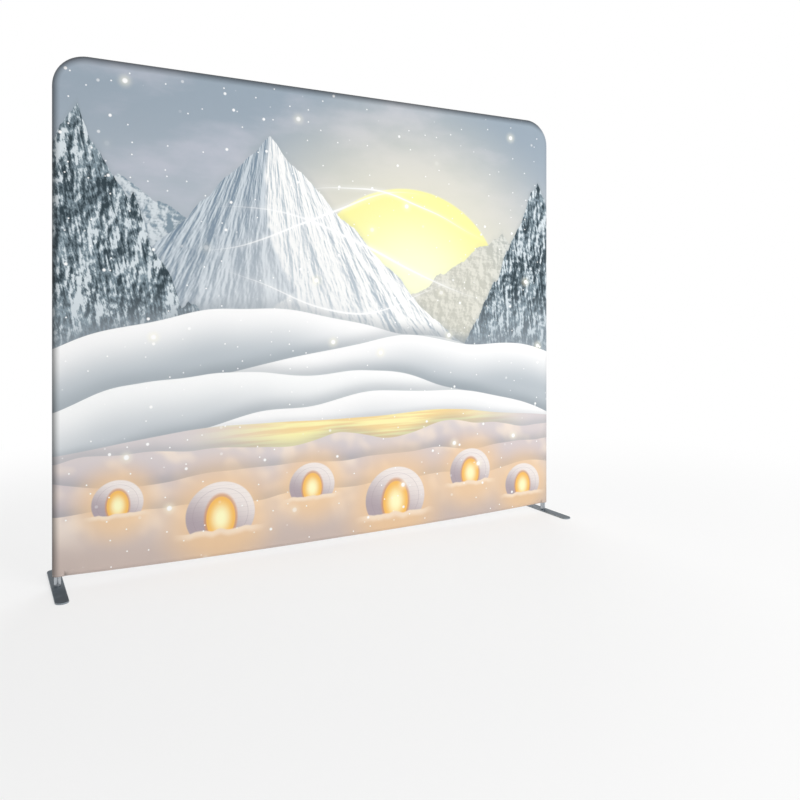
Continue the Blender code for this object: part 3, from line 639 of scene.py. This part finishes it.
def flap_patch():
    """The cloth from the front panel's bottom edge down, under the rail and up to the zip."""
    section, tab_start = roll_section()
    raised_from = TAPE_END - FLAP_TUCK
    edge = sorted([UPRIGHT_X + out for out, _ in section[1 : tab_start + 1]] + [raised_from])
    across = [-x for x in edge[::-1]] + list(case_stations(RAIL_Z)[1]) + edge
    patch = [[(x, -CASE_DEPTH, RAIL_Z) for x in across]]
    for k in range(FLAP_STEPS + 1):
        angle = math.pi * k / FLAP_STEPS
        row = []
        for x in across:
            sag = FLAP_DROP + FLAP_SAG * (1 - min(1.0, abs(x / FLAP_HALF)) ** FLAP_SAG_POWER)
            row.append((x, -CASE_DEPTH * math.cos(angle), RAIL_Z - sag - CASE_DEPTH * math.sin(angle)))
        patch.append(row)
    ends = [BACK_BOTTOM if abs(x) >= raised_from else FLAP_TOP for x in across]
    for share in np.linspace(0, 1, FLAP_BACK_ROWS):
        patch.append([(x, CASE_DEPTH, RAIL_Z + (end - RAIL_Z) * share) for x, end in zip(across, ends)])
    return patch


def stretch_knit(made, tone, pucker=1.0, creased=False):
    """Fine ribs of the knit, the slight pull of the cloth towards its sides and bottom edge, and
    the creases that stay where it lay folded."""
    ribs = made.maths("SINE", made.x * 4200.0)
    courses = made.maths("SINE", made.z * 3600.0 + 1.2 * ribs)
    knit = 0.5 + 0.25 * ribs + 0.25 * courses
    grain = made.cloud(made.place, 700.0, 2.0)
    down = made.rise(made.z, 0.42, 0.05)
    pulls = made.cloud(made.joined(made.x * 9.0, 0.0, made.z * 1.6), 1.0, 2.0)
    side = made.rise(abs(made.x), 0.86, 1.20)
    tugs = made.cloud(made.joined(made.x * 1.6, 0.0, made.z * 8.0), 1.0, 2.0)
    slack = down * pulls + side * tugs
    if creased:
        fold_age = made.cloud(made.place, 3.0, 3.0)
        for here, folds in ((made.x, (-0.61, 0.0, 0.61)), (made.z, (0.62, 1.10, 1.58))):
            for fold in folds:
                slack = slack + 0.7 * fold_age * made.rise(abs(here - fold), 0.016, 0.0)
    made.feed("Base Color", made.mix(tone, "8f949a", 0.035 * (knit + grain)))
    made.feed("Roughness", 0.80 + 0.12 * grain)
    waves = made.bump(slack, 0.006 * pucker, 0.5)
    made.feed("Normal", made.bump(0.7 * knit + 0.3 * grain, 0.00015, 0.5, waves))


def winter_print(made):
    """The printed picture: a low sun behind layered white hills, frosted crags at the sides and
    warm light over drifts in front. A stock winter scene, laid down from back to front."""
    x = made.x
    turned_under = made.rise(made.y, -ROLL_RADIUS, ROLL_RADIUS) * made.rise(made.z, 0.20, 0.12)
    z = made.z - 2.0 * made.z * turned_under

    def lay(colour, share):
        """Lays a colour on the picture by a share."""
        nonlocal picture
        picture = made.mix(picture, colour, share)

    def hill(edge, crest, foot, depth, shadow, reach):
        """Lays one hill on the picture, with the soft shadow that it throws on what is behind."""
        above = z - edge
        lay("8d979f", shadow * made.rise(above, reach, 0.0) ** 1.6)
        lay(made.mix(crest, foot, made.rise(above, 0.0, -depth)), made.rise(above, EDGE_BLUR, -EDGE_BLUR))

    def noise(across, up, scale, detail, roughness=0.5):
        return made.cloud(made.joined(across, up, 0.0), scale, detail, roughness, "2D")

    def relief(across, up, step_x, step_z, scale, detail, roughness, strength):
        """Light and shade over a rough face, from the difference of noise over a short step."""
        here = noise(across, up, scale, detail, roughness)
        return 0.5 + strength * (here - noise(across + step_x, up + step_z, scale, detail, roughness))

    def higher(first, second):
        return made.maths("MAXIMUM", first, second)

    def skyline(*peaks):
        """Outline of a row of mountains, each a point with two long slopes."""
        edge = 0.0
        for top_x, top_z, left_slope, right_slope in peaks:
            off = x - top_x
            edge = higher(edge, top_z - higher(off * right_slope, off * -left_slope))
        return edge

    # Sky with thin cloud
    haze = noise(x * 0.8, z * 1.9, 1.7, 5.0, 0.55)
    picture = made.mix("c3c8ce", "97a5b2", made.rise(z, 1.05, 2.10))
    lay("c3c5d0", 0.70 * made.rise(haze, 0.42, 0.72))
    # Low sun and its glow
    sun_x, sun_z, sun_radius = 0.36, 1.14, 0.56
    off_x, off_z = x - sun_x, z - sun_z
    off = (off_x * off_x + off_z * off_z) ** 0.5
    warmth = made.rise(off, 1.15, 0.40)
    lay("ece7d2", 0.80 * warmth)
    disc = made.mix("ffffd6", "f8f3a2", made.rise(off, 0.15, sun_radius))
    lay(disc, made.rise(off, sun_radius + 0.005, sun_radius - 0.005))
    # Far range in haze
    edge = skyline((-0.98, 1.66, 0.7, 0.60), (0.92, 1.50, 0.6, 0.9), (0.40, 1.16, 0.5, 0.4))
    edge = edge + 0.06 * made.wander(x + 3.1, 5.0, 6.0)
    light = relief(x, z, 0.010, 0.006, 6.0, 9.0, 0.62, 5.0)
    face = made.mix("7f929f", "d3dbe0", made.rise(light, 0.25, 0.75))
    face = made.mix(face, "e6dfc9", 0.60 * warmth)
    hill(edge, face, face, 0.3, 0.10, 0.05)
    # White mountain, bright on the side of the sun
    edge = skyline((-0.34, 1.88, 1.02, 0.98), (-0.92, 1.30, 0.8, 0.9), (0.42, 1.12, 0.9, 0.7))
    edge = edge + 0.040 * made.wander(x + 11.3, 6.0, 6.0)
    fan = (x + 0.34) / (2.15 - z)
    light = relief(fan * 3.4, z * 0.9, 0.030, 0.004, 2.4, 9.0, 0.60, 5.5)
    spine = x + 0.34 - 0.30 * made.wander(z + 5.2, 2.4, 4.0) * (1.90 - z)
    lit = made.rise(spine, -0.012, 0.012)
    shady = made.mix("76899a", "cdd6dd", made.rise(light, 0.10, 0.90))
    bright = made.mix("aebac4", "fbfbf9", made.rise(light, 0.05, 0.66))
    face = made.mix(shady, bright, lit)
    foot = made.mix(face, "e4e7e9", 0.6)
    hill(edge, face, foot, 0.9, 0.15, 0.06)
    # Frosted crags that close the picture at both sides
    edge = skyline(
        (-1.13, 1.93, 2.0, 2.1), (-0.92, 1.56, 2.4, 2.2), (-0.70, 1.17, 1.6, 1.5),
        (1.15, 1.80, 2.0, 2.0), (0.95, 1.42, 2.3, 2.0), (0.76, 1.05, 1.5, 1.5),
    )
    edge = edge + 0.085 * made.wander(x + 21.0, 8.0, 8.0)
    light = relief(x * 1.9 + 0.35 * z, z * 0.75, -0.012, 0.010, 4.2, 10.0, 0.64, 6.0)
    clumps = noise(x, z, 7.0, 5.0, 0.6)
    face = made.mix("26373f", "8698a2", made.rise(light, 0.12, 0.70))
    face = made.mix(face, "d6dfe4", made.rise(light + 0.7 * clumps, 0.88, 1.14))
    face = made.mix(face, "aebac3", 0.45 * made.rise(z, 1.25, 0.90))
    hill(edge, face, face, 0.3, 0.25, 0.05)
    # White hills in folds, one over another
    folds = [
        (1.08, -0.16, 0.10, 1.3, 4.0, "fafafa", "bac2c8"),
        (0.94, 0.20, 0.10, 1.1, 9.5, "fbfbfb", "b8c0c6"),
        (0.83, -0.13, 0.09, 1.5, 15.2, "f9fafa", "c5cbd0"),
        (0.70, 0.10, 0.07, 1.2, 23.8, "fafafa", "bcc3c9"),
    ]
    for height, tilt, swing, pitch, seed, crest, foot in folds:
        bend = 0.16 * (x + tilt) * (x + tilt)
        edge = height + tilt * x + swing * made.wander(x + seed, pitch, 1.0) - bend
        hill(edge, crest, foot, 0.22, 0.45, 0.09)
    # Warm light over the frozen lake behind the drifts
    lake = 0.60 + 0.03 * made.wander(x + 35.0, 1.5, 1.0) - 0.05 * x * x
    shimmer = noise(x * 1.2, z * 26.0, 2.0, 3.0)
    ice = made.mix("fbf3b4", "f3d79c", made.rise(shimmer, 0.35, 0.65))
    ice = made.mix(ice, "d9d2d3", made.rise(abs(x - 0.18), 0.35, 0.95))
    hill(lake, ice, ice, 0.2, 0.20, 0.04)
    # Drifts in front, lilac in shade and peach where the low light reaches them
    drifts = [
        (0.50, 0.06, 1.9, 41.7, "d9d0d0", "b6abb1"),
        (0.40, 0.06, 1.4, 53.3, "d6cbcb", "b9adaf"),
        (0.27, 0.05, 1.7, 67.9, "dccfc9", "cabab2"),
    ]
    for height, swing, pitch, seed, crest, foot in drifts:
        edge = height + swing * made.wander(x + seed, pitch, 1.5)
        light = relief(x, z, 0.030, 0.034, 2.2 + pitch, 2.0, 0.62, 1.6)
        crown = made.mix(crest, "f0e2d6", made.rise(light, 0.40, 0.80))
        hill(edge, crown, foot, 0.20, 0.40, 0.07)
    # Lanterns built of snow blocks, banked up at the foot, with a light inside
    lanterns = [
        (-0.98, 0.31, 0.10), (-0.56, 0.21, 0.15), (-0.14, 0.29, 0.11),
        (0.29, 0.18, 0.16), (0.72, 0.27, 0.12), (1.05, 0.17, 0.11),
    ]
    for middle_x, middle_z, size in lanterns:
        over_x, over_z = x - middle_x, z - middle_z
        ring = (over_x * over_x + 1.1 * over_z * over_z) ** 0.5
        lay("f2cb99", 0.72 * made.rise(ring, 2.2 * size, 0.8 * size))
        ground = over_z + 0.46 * size - 0.07 * size * made.wander(x + middle_z * 50, 2.2 / size, 1.0)
        standing = made.rise(ground, -0.004, 0.004)
        body = made.mix("f1e9e5", "b0a3aa", made.rise(over_z + 0.5 * over_x, 0.9 * size, -0.6 * size))
        course = abs(made.maths("PINGPONG", over_z, 0.14 * size) - 0.07 * size)
        joint = made.rise(course, 0.066 * size, 0.070 * size)
        joint = joint + made.rise(abs(ring - 0.80 * size), 0.012 * size, 0.0)
        body = made.mix(body, "9c8f97", 0.45 * joint)
        lay(body, made.rise(ring, size + 0.003, size - 0.003) * standing)
        door_x, door_z = over_x / (0.42 * size), (over_z + 0.10 * size) / (0.62 * size)
        door = (door_x * door_x + door_z * door_z) ** 0.5
        flame = made.mix("fffbc9", "f6bf62", made.rise(door, 0.15, 0.95))
        lay("d59a68", 0.8 * made.rise(door, 1.25, 1.05) * standing)
        lay(flame, made.rise(door, 1.04, 0.96) * standing)
        bank = made.rise(ground, -0.22 * size, -0.04 * size) * made.rise(ground, 0.05 * size, 0.0)
        bank = bank * made.rise(abs(over_x), 1.45 * size, 0.8 * size)
        lay("f6e3cd", 0.85 * bank)
    # Snow blown off the peak in long curls that thin out at both ends, then flakes, a few of them glowing
    curls = [
        (1.52, 0.16, 2.9, 0.4, -0.10, 0.62, 0.0085), (1.36, 0.20, 2.3, 2.6, 0.12, 0.78, 0.0100),
        (1.22, 0.13, 3.4, 4.5, 0.02, 0.66, 0.0070), (1.44, 0.24, 1.9, 1.5, 0.30, 0.58, 0.0060),
    ]
    for height, swing, pitch, start, middle, half, broad in curls:
        sway = made.maths("SINE", x * pitch + start)
        line = abs(z - (height + swing * sway + 0.02 * made.wander(x + 9.0 * start, 2.0, 1.0)))
        ends = made.rise(abs(x - middle), half, 0.0) ** 0.7
        lay("ffffff", 0.30 * ends * made.rise(line, 5.0 * broad, 0.0) ** 2.0)
        core = broad * ends
        lay("ffffff", 0.85 * ends * made.rise(line, core, 0.25 * core))
    flat = made.joined(x, z, 0.0)
    for scale, size, least in ((6.0, 0.050, 0.55), (13.0, 0.055, 0.50), (2.6, 0.035, 0.30)):
        cells = made.node(
            "ShaderNodeTexVoronoi", {"voronoi_dimensions": "2D"}, {"Vector": flat, "Scale": scale}
        )
        chance = made.parts(cells.beside("Color"))[0]
        here = made.rise(chance, least, least + 0.25)
        if scale < 3:
            lay("fffbe6", 0.50 * here * made.rise(cells, 3.2 * size, 0.0) ** 1.5)
        lay("ffffff", 0.95 * here * made.rise(cells, size, 0.5 * size))
    # Painted shade along the outline, where the cloth rolls round the tubes, strongest at the top and on the left
    corner = CORNER_RADIUS + ROLL_RADIUS
    wide = higher(abs(x) - (UPRIGHT_X + ROLL_RADIUS - corner), 0.0)
    tall = higher(z - (TOP_Z + ROLL_RADIUS - corner), 0.0)
    rim = (wide * wide + tall * tall) ** 0.5
    top = made.rise(z, TOP_Z - 0.06, TOP_Z + 0.01)
    reach = 0.029 + 0.015 * top
    painted_rim_shade = higher((rim - corner) / reach + 1.0, 0.0) ** 1.2
    painted_rim_shade = painted_rim_shade * (0.68 + 0.27 * top - 0.50 * made.rise(x, 1.12, 1.20) * (1 - top))
    lay("12161a", painted_rim_shade)
    return picture


KNIT_GLOSS = {"Sheen_Weight": 0.15, "Sheen_Roughness": 0.5, "Specular_IOR_Level": 0.25}
printed = Finish("printed_knit", **KNIT_GLOSS)
stretch_knit(printed, winter_print(printed))
plain = Finish("plain_knit", **KNIT_GLOSS)
off_white = plain.mix("d6d7d4", "dfdfdc", plain.cloud(plain.place, 2.2, 3.0))
# Painted shade over the sides and the top where the tubes lie behind the cloth, and a painted shadow of the pole
# and its saddle at the top middle
painted_side_shade = plain.rise(abs(plain.x), UPRIGHT_X - 0.030, UPRIGHT_X - 0.012)
painted_top_shade = plain.rise(plain.z, TOP_Z - 0.030, TOP_Z - 0.012)
painted_pole_shadow = plain.rise(abs(plain.x), 0.017, 0.009) * plain.rise(plain.z, 2.09, 2.07)
off_white = plain.mix(off_white, "b4b7ba", 0.30 * painted_side_shade + 0.30 * painted_top_shade)
off_white = plain.mix(off_white, "b4b7ba", 0.18 * painted_pole_shadow)
# Painted shade on the back's roll just past the seam, where the dark outline of the front runs on round the edge
painted_seam_shade = plain.rise(plain.y, 0.0085, 0.0045) * plain.rise(plain.y, -0.001, 0.0)
off_white = plain.mix(off_white, "737c85", 0.85 * painted_seam_shade)
stretch_knit(plain, off_white, 1.4, creased=True)

case_front = cloth_sheet("case_front", [*case_patches(-1, RAIL_Z), flap_patch()], printed, plain)
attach(case_front, "cover")
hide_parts("cover_front", "cover_flap")
TUBES_UNDER = ["upright_lower_left", "upright_upper_left", "upright_lower_right", "upright_upper_right"]
TUBES_UNDER += ["top_rail_left", "top_rail_right", "top_corner_left", "top_corner_right"]


# ----------------------------------------
# Plain back of the case, of the same knit left unprinted. It stops above the zip, and its tabs
# go down beside the flap.

case_back = cloth_sheet("case_back", case_patches(1, BACK_BOTTOM), plain, plain)
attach(case_back, "cover")
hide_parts("cover_back")


# ----------------------------------------
# Tapes of the zip, woven polyester, with a cord woven into the edge beside the teeth. They are
# sewn to the cloth above and below the teeth, with two rows of lockstitch each.

TAPE_STATIONS, TAPE_LEVEL, SEWN_AT, SEWN_SHORT = 230, 0.55, (0.0030, 0.0102), 0.002
weave = Finish("woven_tape", Sheen_Weight=0.1, Specular_IOR_Level=0.3)
warp = weave.maths("SINE", weave.x * 3900.0)
twill = weave.maths("SINE", weave.z * 5200.0 + weave.x * 2600.0)
tape_tone = weave.mix("c4c5c4", "d2d3d1", weave.cloud(weave.place, 30.0, 3.0))
tape_tone = weave.mix(tape_tone, "9fa1a2", 0.12 + 0.12 * twill)
weave.feed("Base Color", tape_tone)
weave.feed("Roughness", 0.72 + 0.08 * warp)
weave.feed("Normal", weave.bump(0.5 + 0.25 * warp + 0.25 * twill, 0.00012, 0.7))
seams = []
for word, way in (("upper", 1), ("lower", -1)):
    low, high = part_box(f"zip_tape_{word}")
    inner_z = low.z if way == 1 else high.z
    width, thick = high.z - low.z, high.y - low.y
    outline = [(-0.0028, 0.0), (-0.0028, 0.30), (-0.0002, 0.32), (0.0, 0.75), (0.0009, 1.0), (0.0018, 0.62)]
    outline += [(0.5 * width, TAPE_LEVEL), (width - 0.0012, TAPE_LEVEL), (width, 0.30), (width, 0.0)]
    rings = []
    for x in np.linspace(low.x, high.x, TAPE_STATIONS):
        ripple = 0.00025 * math.sin(41.0 * x) + 0.00015 * math.sin(97.0 * x + 1.3)
        ring = []
        for out, rise in outline:
            wave = ripple if out > 0.5 * width else 0.0
            ring.append((x, low.y + thick * rise, inner_z + way * (out + wave)))
        rings.append(ring)
    tape = ring_piece(f"tape_{word}", rings, weave)
    tape.data.set_sharp_from_angle(angle=FOLD_ANGLE)
    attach(tape, "cover")
    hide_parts(f"zip_tape_{word}")
    for out in SEWN_AT:
        ends = (low.x + SEWN_SHORT, high.x - SEWN_SHORT)
        seams.append([(x, low.y + TAPE_LEVEL * thick, inner_z + way * out) for x in ends])


def repeated(name, build, sizes, finish, along=None):
    """Runs a pattern of geometry nodes with its named sizes and keeps the result as plain mesh."""
    tree = bpy.data.node_groups.new(name, "GeometryNodeTree")

    def opening(label, kind, in_out="INPUT"):
        return tree.interface.new_socket(label, in_out=in_out, socket_type=f"NodeSocket{kind}").identifier

    opening("Geometry", "Geometry")
    opening("Geometry", "Geometry", "OUTPUT")
    keys = {size: opening(size, "Float") for size in sizes}
    keys["Finish"] = opening("Finish", "Material")
    board = Board(tree)
    start = tree.nodes.new("NodeGroupInput")
    given = {socket.name: Wire(board, socket) for socket in start.outputs if socket.name}
    pieces = board.node("GeometryNodeRealizeInstances", {}, {0: build(board, given)})
    dressed = board.node("GeometryNodeSetMaterial", {}, {"Geometry": pieces, "Material": given["Finish"]})
    end = tree.nodes.new("NodeGroupOutput")
    tree.links.new(dressed.socket, end.inputs[0])
    carrier = placed(name, along or bpy.data.meshes.new(name))
    pattern = carrier.modifiers.new(name, "NODES")
    pattern.node_group = tree
    for size, value in {**sizes, "Finish": finish.material}.items():
        pattern[keys[size]] = value
    bpy.context.view_layer.update()
    made = bpy.data.meshes.new_from_object(carrier.evaluated_get(bpy.context.evaluated_depsgraph_get()))
    carrier.modifiers.clear()
    carrier.data = made
    return carrier


def stitch_line(board, given):
    """Lockstitches laid end to end along the given lines."""
    line = board.node("GeometryNodeMeshToCurve", {}, {0: given["Geometry"]})
    points = board.node(
        "GeometryNodeResampleCurve", {"mode": "LENGTH"}, {"Curve": line, "Length": given["Pitch"]}
    )
    stitch = board.node("GeometryNodeMeshUVSphere", {}, {"Segments": 6, "Rings": 4, "Radius": 0.5})
    way = board.node("GeometryNodeInputTangent")
    turn = board.node("FunctionNodeAlignRotationToVector", {"axis": "X"}, {"Vector": way})
    size = board.joined(given["Stitch length"], given["Thread"], given["Thread"])
    return board.node("GeometryNodeInstanceOnPoints", {}, {
        "Points": points, "Instance": stitch, "Rotation": turn, "Scale": size,
    })


HEM, HEM_TURNS, FLAP_HEM_TURNS = 0.006, 9, 12
STITCH = {"Pitch": 0.0034, "Stitch length": 0.0030, "Thread": 0.0006}
thread = grained("sewing_thread", "c9cac9", "f0f0ee", (2500.0, 1.0), (0.55, 0.2), Sheen_Weight=0.2)
for way in (-1, 1):
    for facing in (-1, 1):
        hem = [(way * (FLAP_HALF + 0.005), facing * CASE_DEPTH, CASE_BOTTOM + HEM)]
        for k in range(HEM_TURNS):
            angle = math.radians(90 - 10 * k)
            out, depth = ROLL_RADIUS * math.cos(angle), ROLL_RADIUS * math.sin(angle)
            hem.append((way * (UPRIGHT_X + out), facing * depth, CASE_BOTTOM + HEM))
        seams.append(hem)
    edge_x = way * (FLAP_HALF - HEM)
    hem = [(edge_x, -CASE_DEPTH, RAIL_Z + HEM / 2)]
    for k in range(FLAP_HEM_TURNS + 1):
        angle = math.pi * k / FLAP_HEM_TURNS
        drop = FLAP_DROP + CASE_DEPTH * math.sin(angle)
        hem.append((edge_x, -CASE_DEPTH * math.cos(angle), RAIL_Z - drop))
    seams.append([*hem, (edge_x, CASE_DEPTH, FLAP_TOP - 2 * HEM)])
steps, count = [], 0
for seam in seams:
    steps += [(count + k, count + k + 1) for k in range(len(seam) - 1)]
    count += len(seam)
lines = bpy.data.meshes.new("stitch_lines")
lines.from_pydata([spot for seam in seams for spot in seam], steps, [])
stitches = repeated("stitches", stitch_line, STITCH, thread, lines)
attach(stitches, "cover")


# ----------------------------------------
# Teeth of the zip: two rows of nylon loops that mesh along the middle.

coil_nylon = grained(
    "zip_coil_nylon", "c6c7c6", "dddedc", (220.0, 2.0), (0.30, 0.15), Specular_IOR_Level=0.5
)


def loop_rows(board, given):
    """Loops of nylon wire, one row from the lower tape and one from the upper, half a step apart."""
    pitch, reach = given["Pitch"], given["Reach"]
    half_foot = pitch * 0.24
    bend = board.node("GeometryNodeCurveQuadraticBezier", {}, {
        "Resolution": 5, "Start": board.joined(half_foot * -1.0, 0.0, 0.0),
        "Middle": board.joined(0.0, 0.0, reach * 1.9), "End": board.joined(half_foot, 0.0, 0.0),
    })
    wire = board.node(
        "GeometryNodeCurvePrimitiveCircle", {"mode": "RADIUS"}, {"Resolution": 5, "Radius": given["Wire"]}
    )
    loop = board.node(
        "GeometryNodeCurveToMesh", {}, {"Curve": bend, "Profile Curve": wire, "Fill Caps": True}
    )
    step = board.joined(pitch, 0.0, 0.0)
    rows = []
    for turn, height, shift in ((0.0, -1.0, 0.25), (math.pi, 1.0, 0.75)):
        first_x = given["Length"] * -0.5 + pitch * shift
        line = board.node("GeometryNodeMeshLine", {"mode": "OFFSET"}, {
            "Count": given["Length"] / pitch, "Offset": step,
            "Start Location": board.joined(first_x, given["Depth"], given["Middle"] + height * reach),
        })
        placing = {"Points": line, "Instance": loop, "Rotation": (0.0, turn, 0.0)}
        rows.append(board.node("GeometryNodeInstanceOnPoints", {}, placing))
    both = board.node("GeometryNodeJoinGeometry", {}, {0: rows[0]})
    board.tree.links.new(rows[1].socket, both.socket.node.inputs[0])
    return both


low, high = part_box("zip_teeth")
coil = repeated("zip_coil", loop_rows, {
    "Pitch": 0.0016, "Reach": (high.z - low.z) / 2, "Wire": 0.00036, "Length": high.x - low.x,
    "Depth": (low.y + high.y) / 2, "Middle": (low.z + high.z) / 2,
}, coil_nylon)
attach(coil, "cover")
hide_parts("zip_teeth")


# ----------------------------------------
# Stops, slider and pull of the zip, die cast and nickel plated, dulled where fingers hold them.

nickel = Finish("nickel_plating", Metallic=1.0)
cast = nickel.cloud(nickel.place, 500.0, 3.0)
handled = nickel.cloud(nickel.place, 90.0, 3.0)
nickel.feed("Base Color", nickel.mix("c9c7c2", "a5a39f", handled))
nickel.feed("Roughness", 0.18 + 0.25 * handled)
nickel.feed("Normal", nickel.bump(cast, 0.00003, 0.5))
CAST_EDGE, CAST_CUTS, CAST_CORNER = 0.00035, 34, math.radians(40)


def cast_piece(name, node, shaped):
    """A small casting with its edges rounded. shaped gives how far each point lies from the
    casting's middle, from how far it did, its share of the length, and the casting's half height."""
    low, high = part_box(node)

    def cut_and_shape(bm):
        bmesh.ops.dissolve_limit(bm, angle_limit=math.radians(1), verts=bm.verts, edges=bm.edges)
        for cut in np.linspace(low.x, high.x, CAST_CUTS)[1:-1]:
            every = [*bm.verts, *bm.edges, *bm.faces]
            bmesh.ops.bisect_plane(bm, geom=every, dist=SAME_SPOT, plane_co=(cut, 0, 0), plane_no=(1, 0, 0))
        middle, half = (low.z + high.z) / 2, (high.z - low.z) / 2
        for vert in bm.verts:
            share = (vert.co.x - low.x) / (high.x - low.x)
            vert.co.z = middle + shaped(vert.co.z - middle, share, half)

    piece = stand_in(node, name, nickel, cut_and_shape)
    rounding = piece.modifiers.new("cast_edge", "BEVEL")
    rounding.width, rounding.segments, rounding.limit_method = CAST_EDGE, 3, "ANGLE"
    rounding.angle_limit = CAST_CORNER


def slider_shape(out, share, half):
    """The slider is wide where the two rows of teeth part and narrow where they leave it joined."""
    return out * (1 - 0.12 * share) if abs(out) > 0.9 * half else out


def pull_shape(out, share, half):
    """The pull narrows past its window and swells to a round grip."""
    waist = 1 - 0.30 * math.sin(math.pi * min(1.0, max(0.0, (share - 0.30) / 0.55))) ** 2
    end = math.sqrt(max(0.0, 1 - max(0.0, (share - 0.88) / 0.125) ** 2))
    return out * waist * max(end, 0.12)


def stop_shape(out, share, half):
    """A stop is a strip of metal bent over the teeth, with a shallow waist where it was pressed."""
    return out * (1 - 0.08 * math.sin(math.pi * share))


cast_piece("slider", "zip_slider", slider_shape)
cast_piece("pull", "zip_pull", pull_shape)
for side in SIDES:
    cast_piece(f"stop_{side}", f"zip_stop_{side}", stop_shape)


# ----------------------------------------
# The studio: a pale floor that runs out to white, two soft lamps and the camera of the picture.

FLOOR_HALF = 20
WORLD_LIGHT = 0.59
LIT_SPOT = Vector((0, 0, 1.1))
SOFTBOX_SIZE, SOFTBOX_POWER = 4.0, 200
PICTURE_SIZE, FOCAL_PIXELS, SHIFT_PIXELS = 800, 804.9, (-54.06, -93.08)


def looked_at(board):
    """1 where the studio itself is seen, also in gloss or through glass, and 0 where it gives light."""
    seen = board.node("ShaderNodeLightPath")
    glossy, through = seen.beside("Is Glossy Ray"), seen.beside("Is Transmission Ray")
    return board.maths("MAXIMUM", board.maths("MAXIMUM", seen, glossy), through)


ground = Finish("pale_floor", Roughness=0.9, Specular_IOR_Level=0.0)
ground.feed("Base Color", ground.mix("f2f2f2", "f5f5f5", ground.cloud(ground.place, 0.5)))
glow = ground.node("ShaderNodeEmission", {}, {"Color": (1, 1, 1, 1), "Strength": 1.0})
away = (ground.x * ground.x + ground.y * ground.y) ** 0.5
whiteness = 0.60 + 0.40 * ground.rise(away, 1.6, 4.0)
lit = Wire(ground, ground.shader.outputs[0])
both = ground.node("ShaderNodeMixShader", {}, {0: looked_at(ground) * whiteness, 1: lit, 2: glow})
ground.tree.links.new(both.socket, ground.tree.nodes["Material Output"].inputs["Surface"])
floor_mesh = bpy.data.meshes.new("floor")
corners = [(x * FLOOR_HALF, y * FLOOR_HALF, 0) for x, y in ((-1, -1), (1, -1), (1, 1), (-1, 1))]
floor_mesh.from_pydata(corners, [], [(0, 1, 2, 3)])
floor = placed("floor", floor_mesh, ground)

world = bpy.data.worlds.new("studio")
bpy.context.scene.world = world
world.use_nodes = True
backdrop = world.node_tree.nodes["Background"]
backdrop.inputs["Color"].default_value = (1, 1, 1, 1)
strength = WORLD_LIGHT + (1 - WORLD_LIGHT) * looked_at(Board(world.node_tree))
world.node_tree.links.new(strength.socket, backdrop.inputs["Strength"])

for name, place in (("front_softbox", (2.2, -5.8, 2.6)), ("back_softbox", (2.8, 5.5, 3.8))):
    lamp = bpy.data.lights.new(name, "AREA")
    lamp.size, lamp.energy = SOFTBOX_SIZE, SOFTBOX_POWER
    softbox = placed(name, lamp)
    softbox.location = place
    softbox.rotation_euler = (LIT_SPOT - Vector(place)).to_track_quat("-Z", "Y").to_euler()

camera = placed("camera", bpy.data.cameras.new("camera"))
bpy.context.scene.camera = camera
camera.location = (-1.4672, -3.5692, 1.1169)
camera.rotation_euler = (math.pi / 2, 0, math.radians(-30.494))
camera.data.sensor_width = 36.0
camera.data.lens = camera.data.sensor_width * FOCAL_PIXELS / PICTURE_SIZE
camera.data.shift_x, camera.data.shift_y = (pixels / PICTURE_SIZE for pixels in SHIFT_PIXELS)
bpy.context.scene.view_settings.view_transform = "Standard"
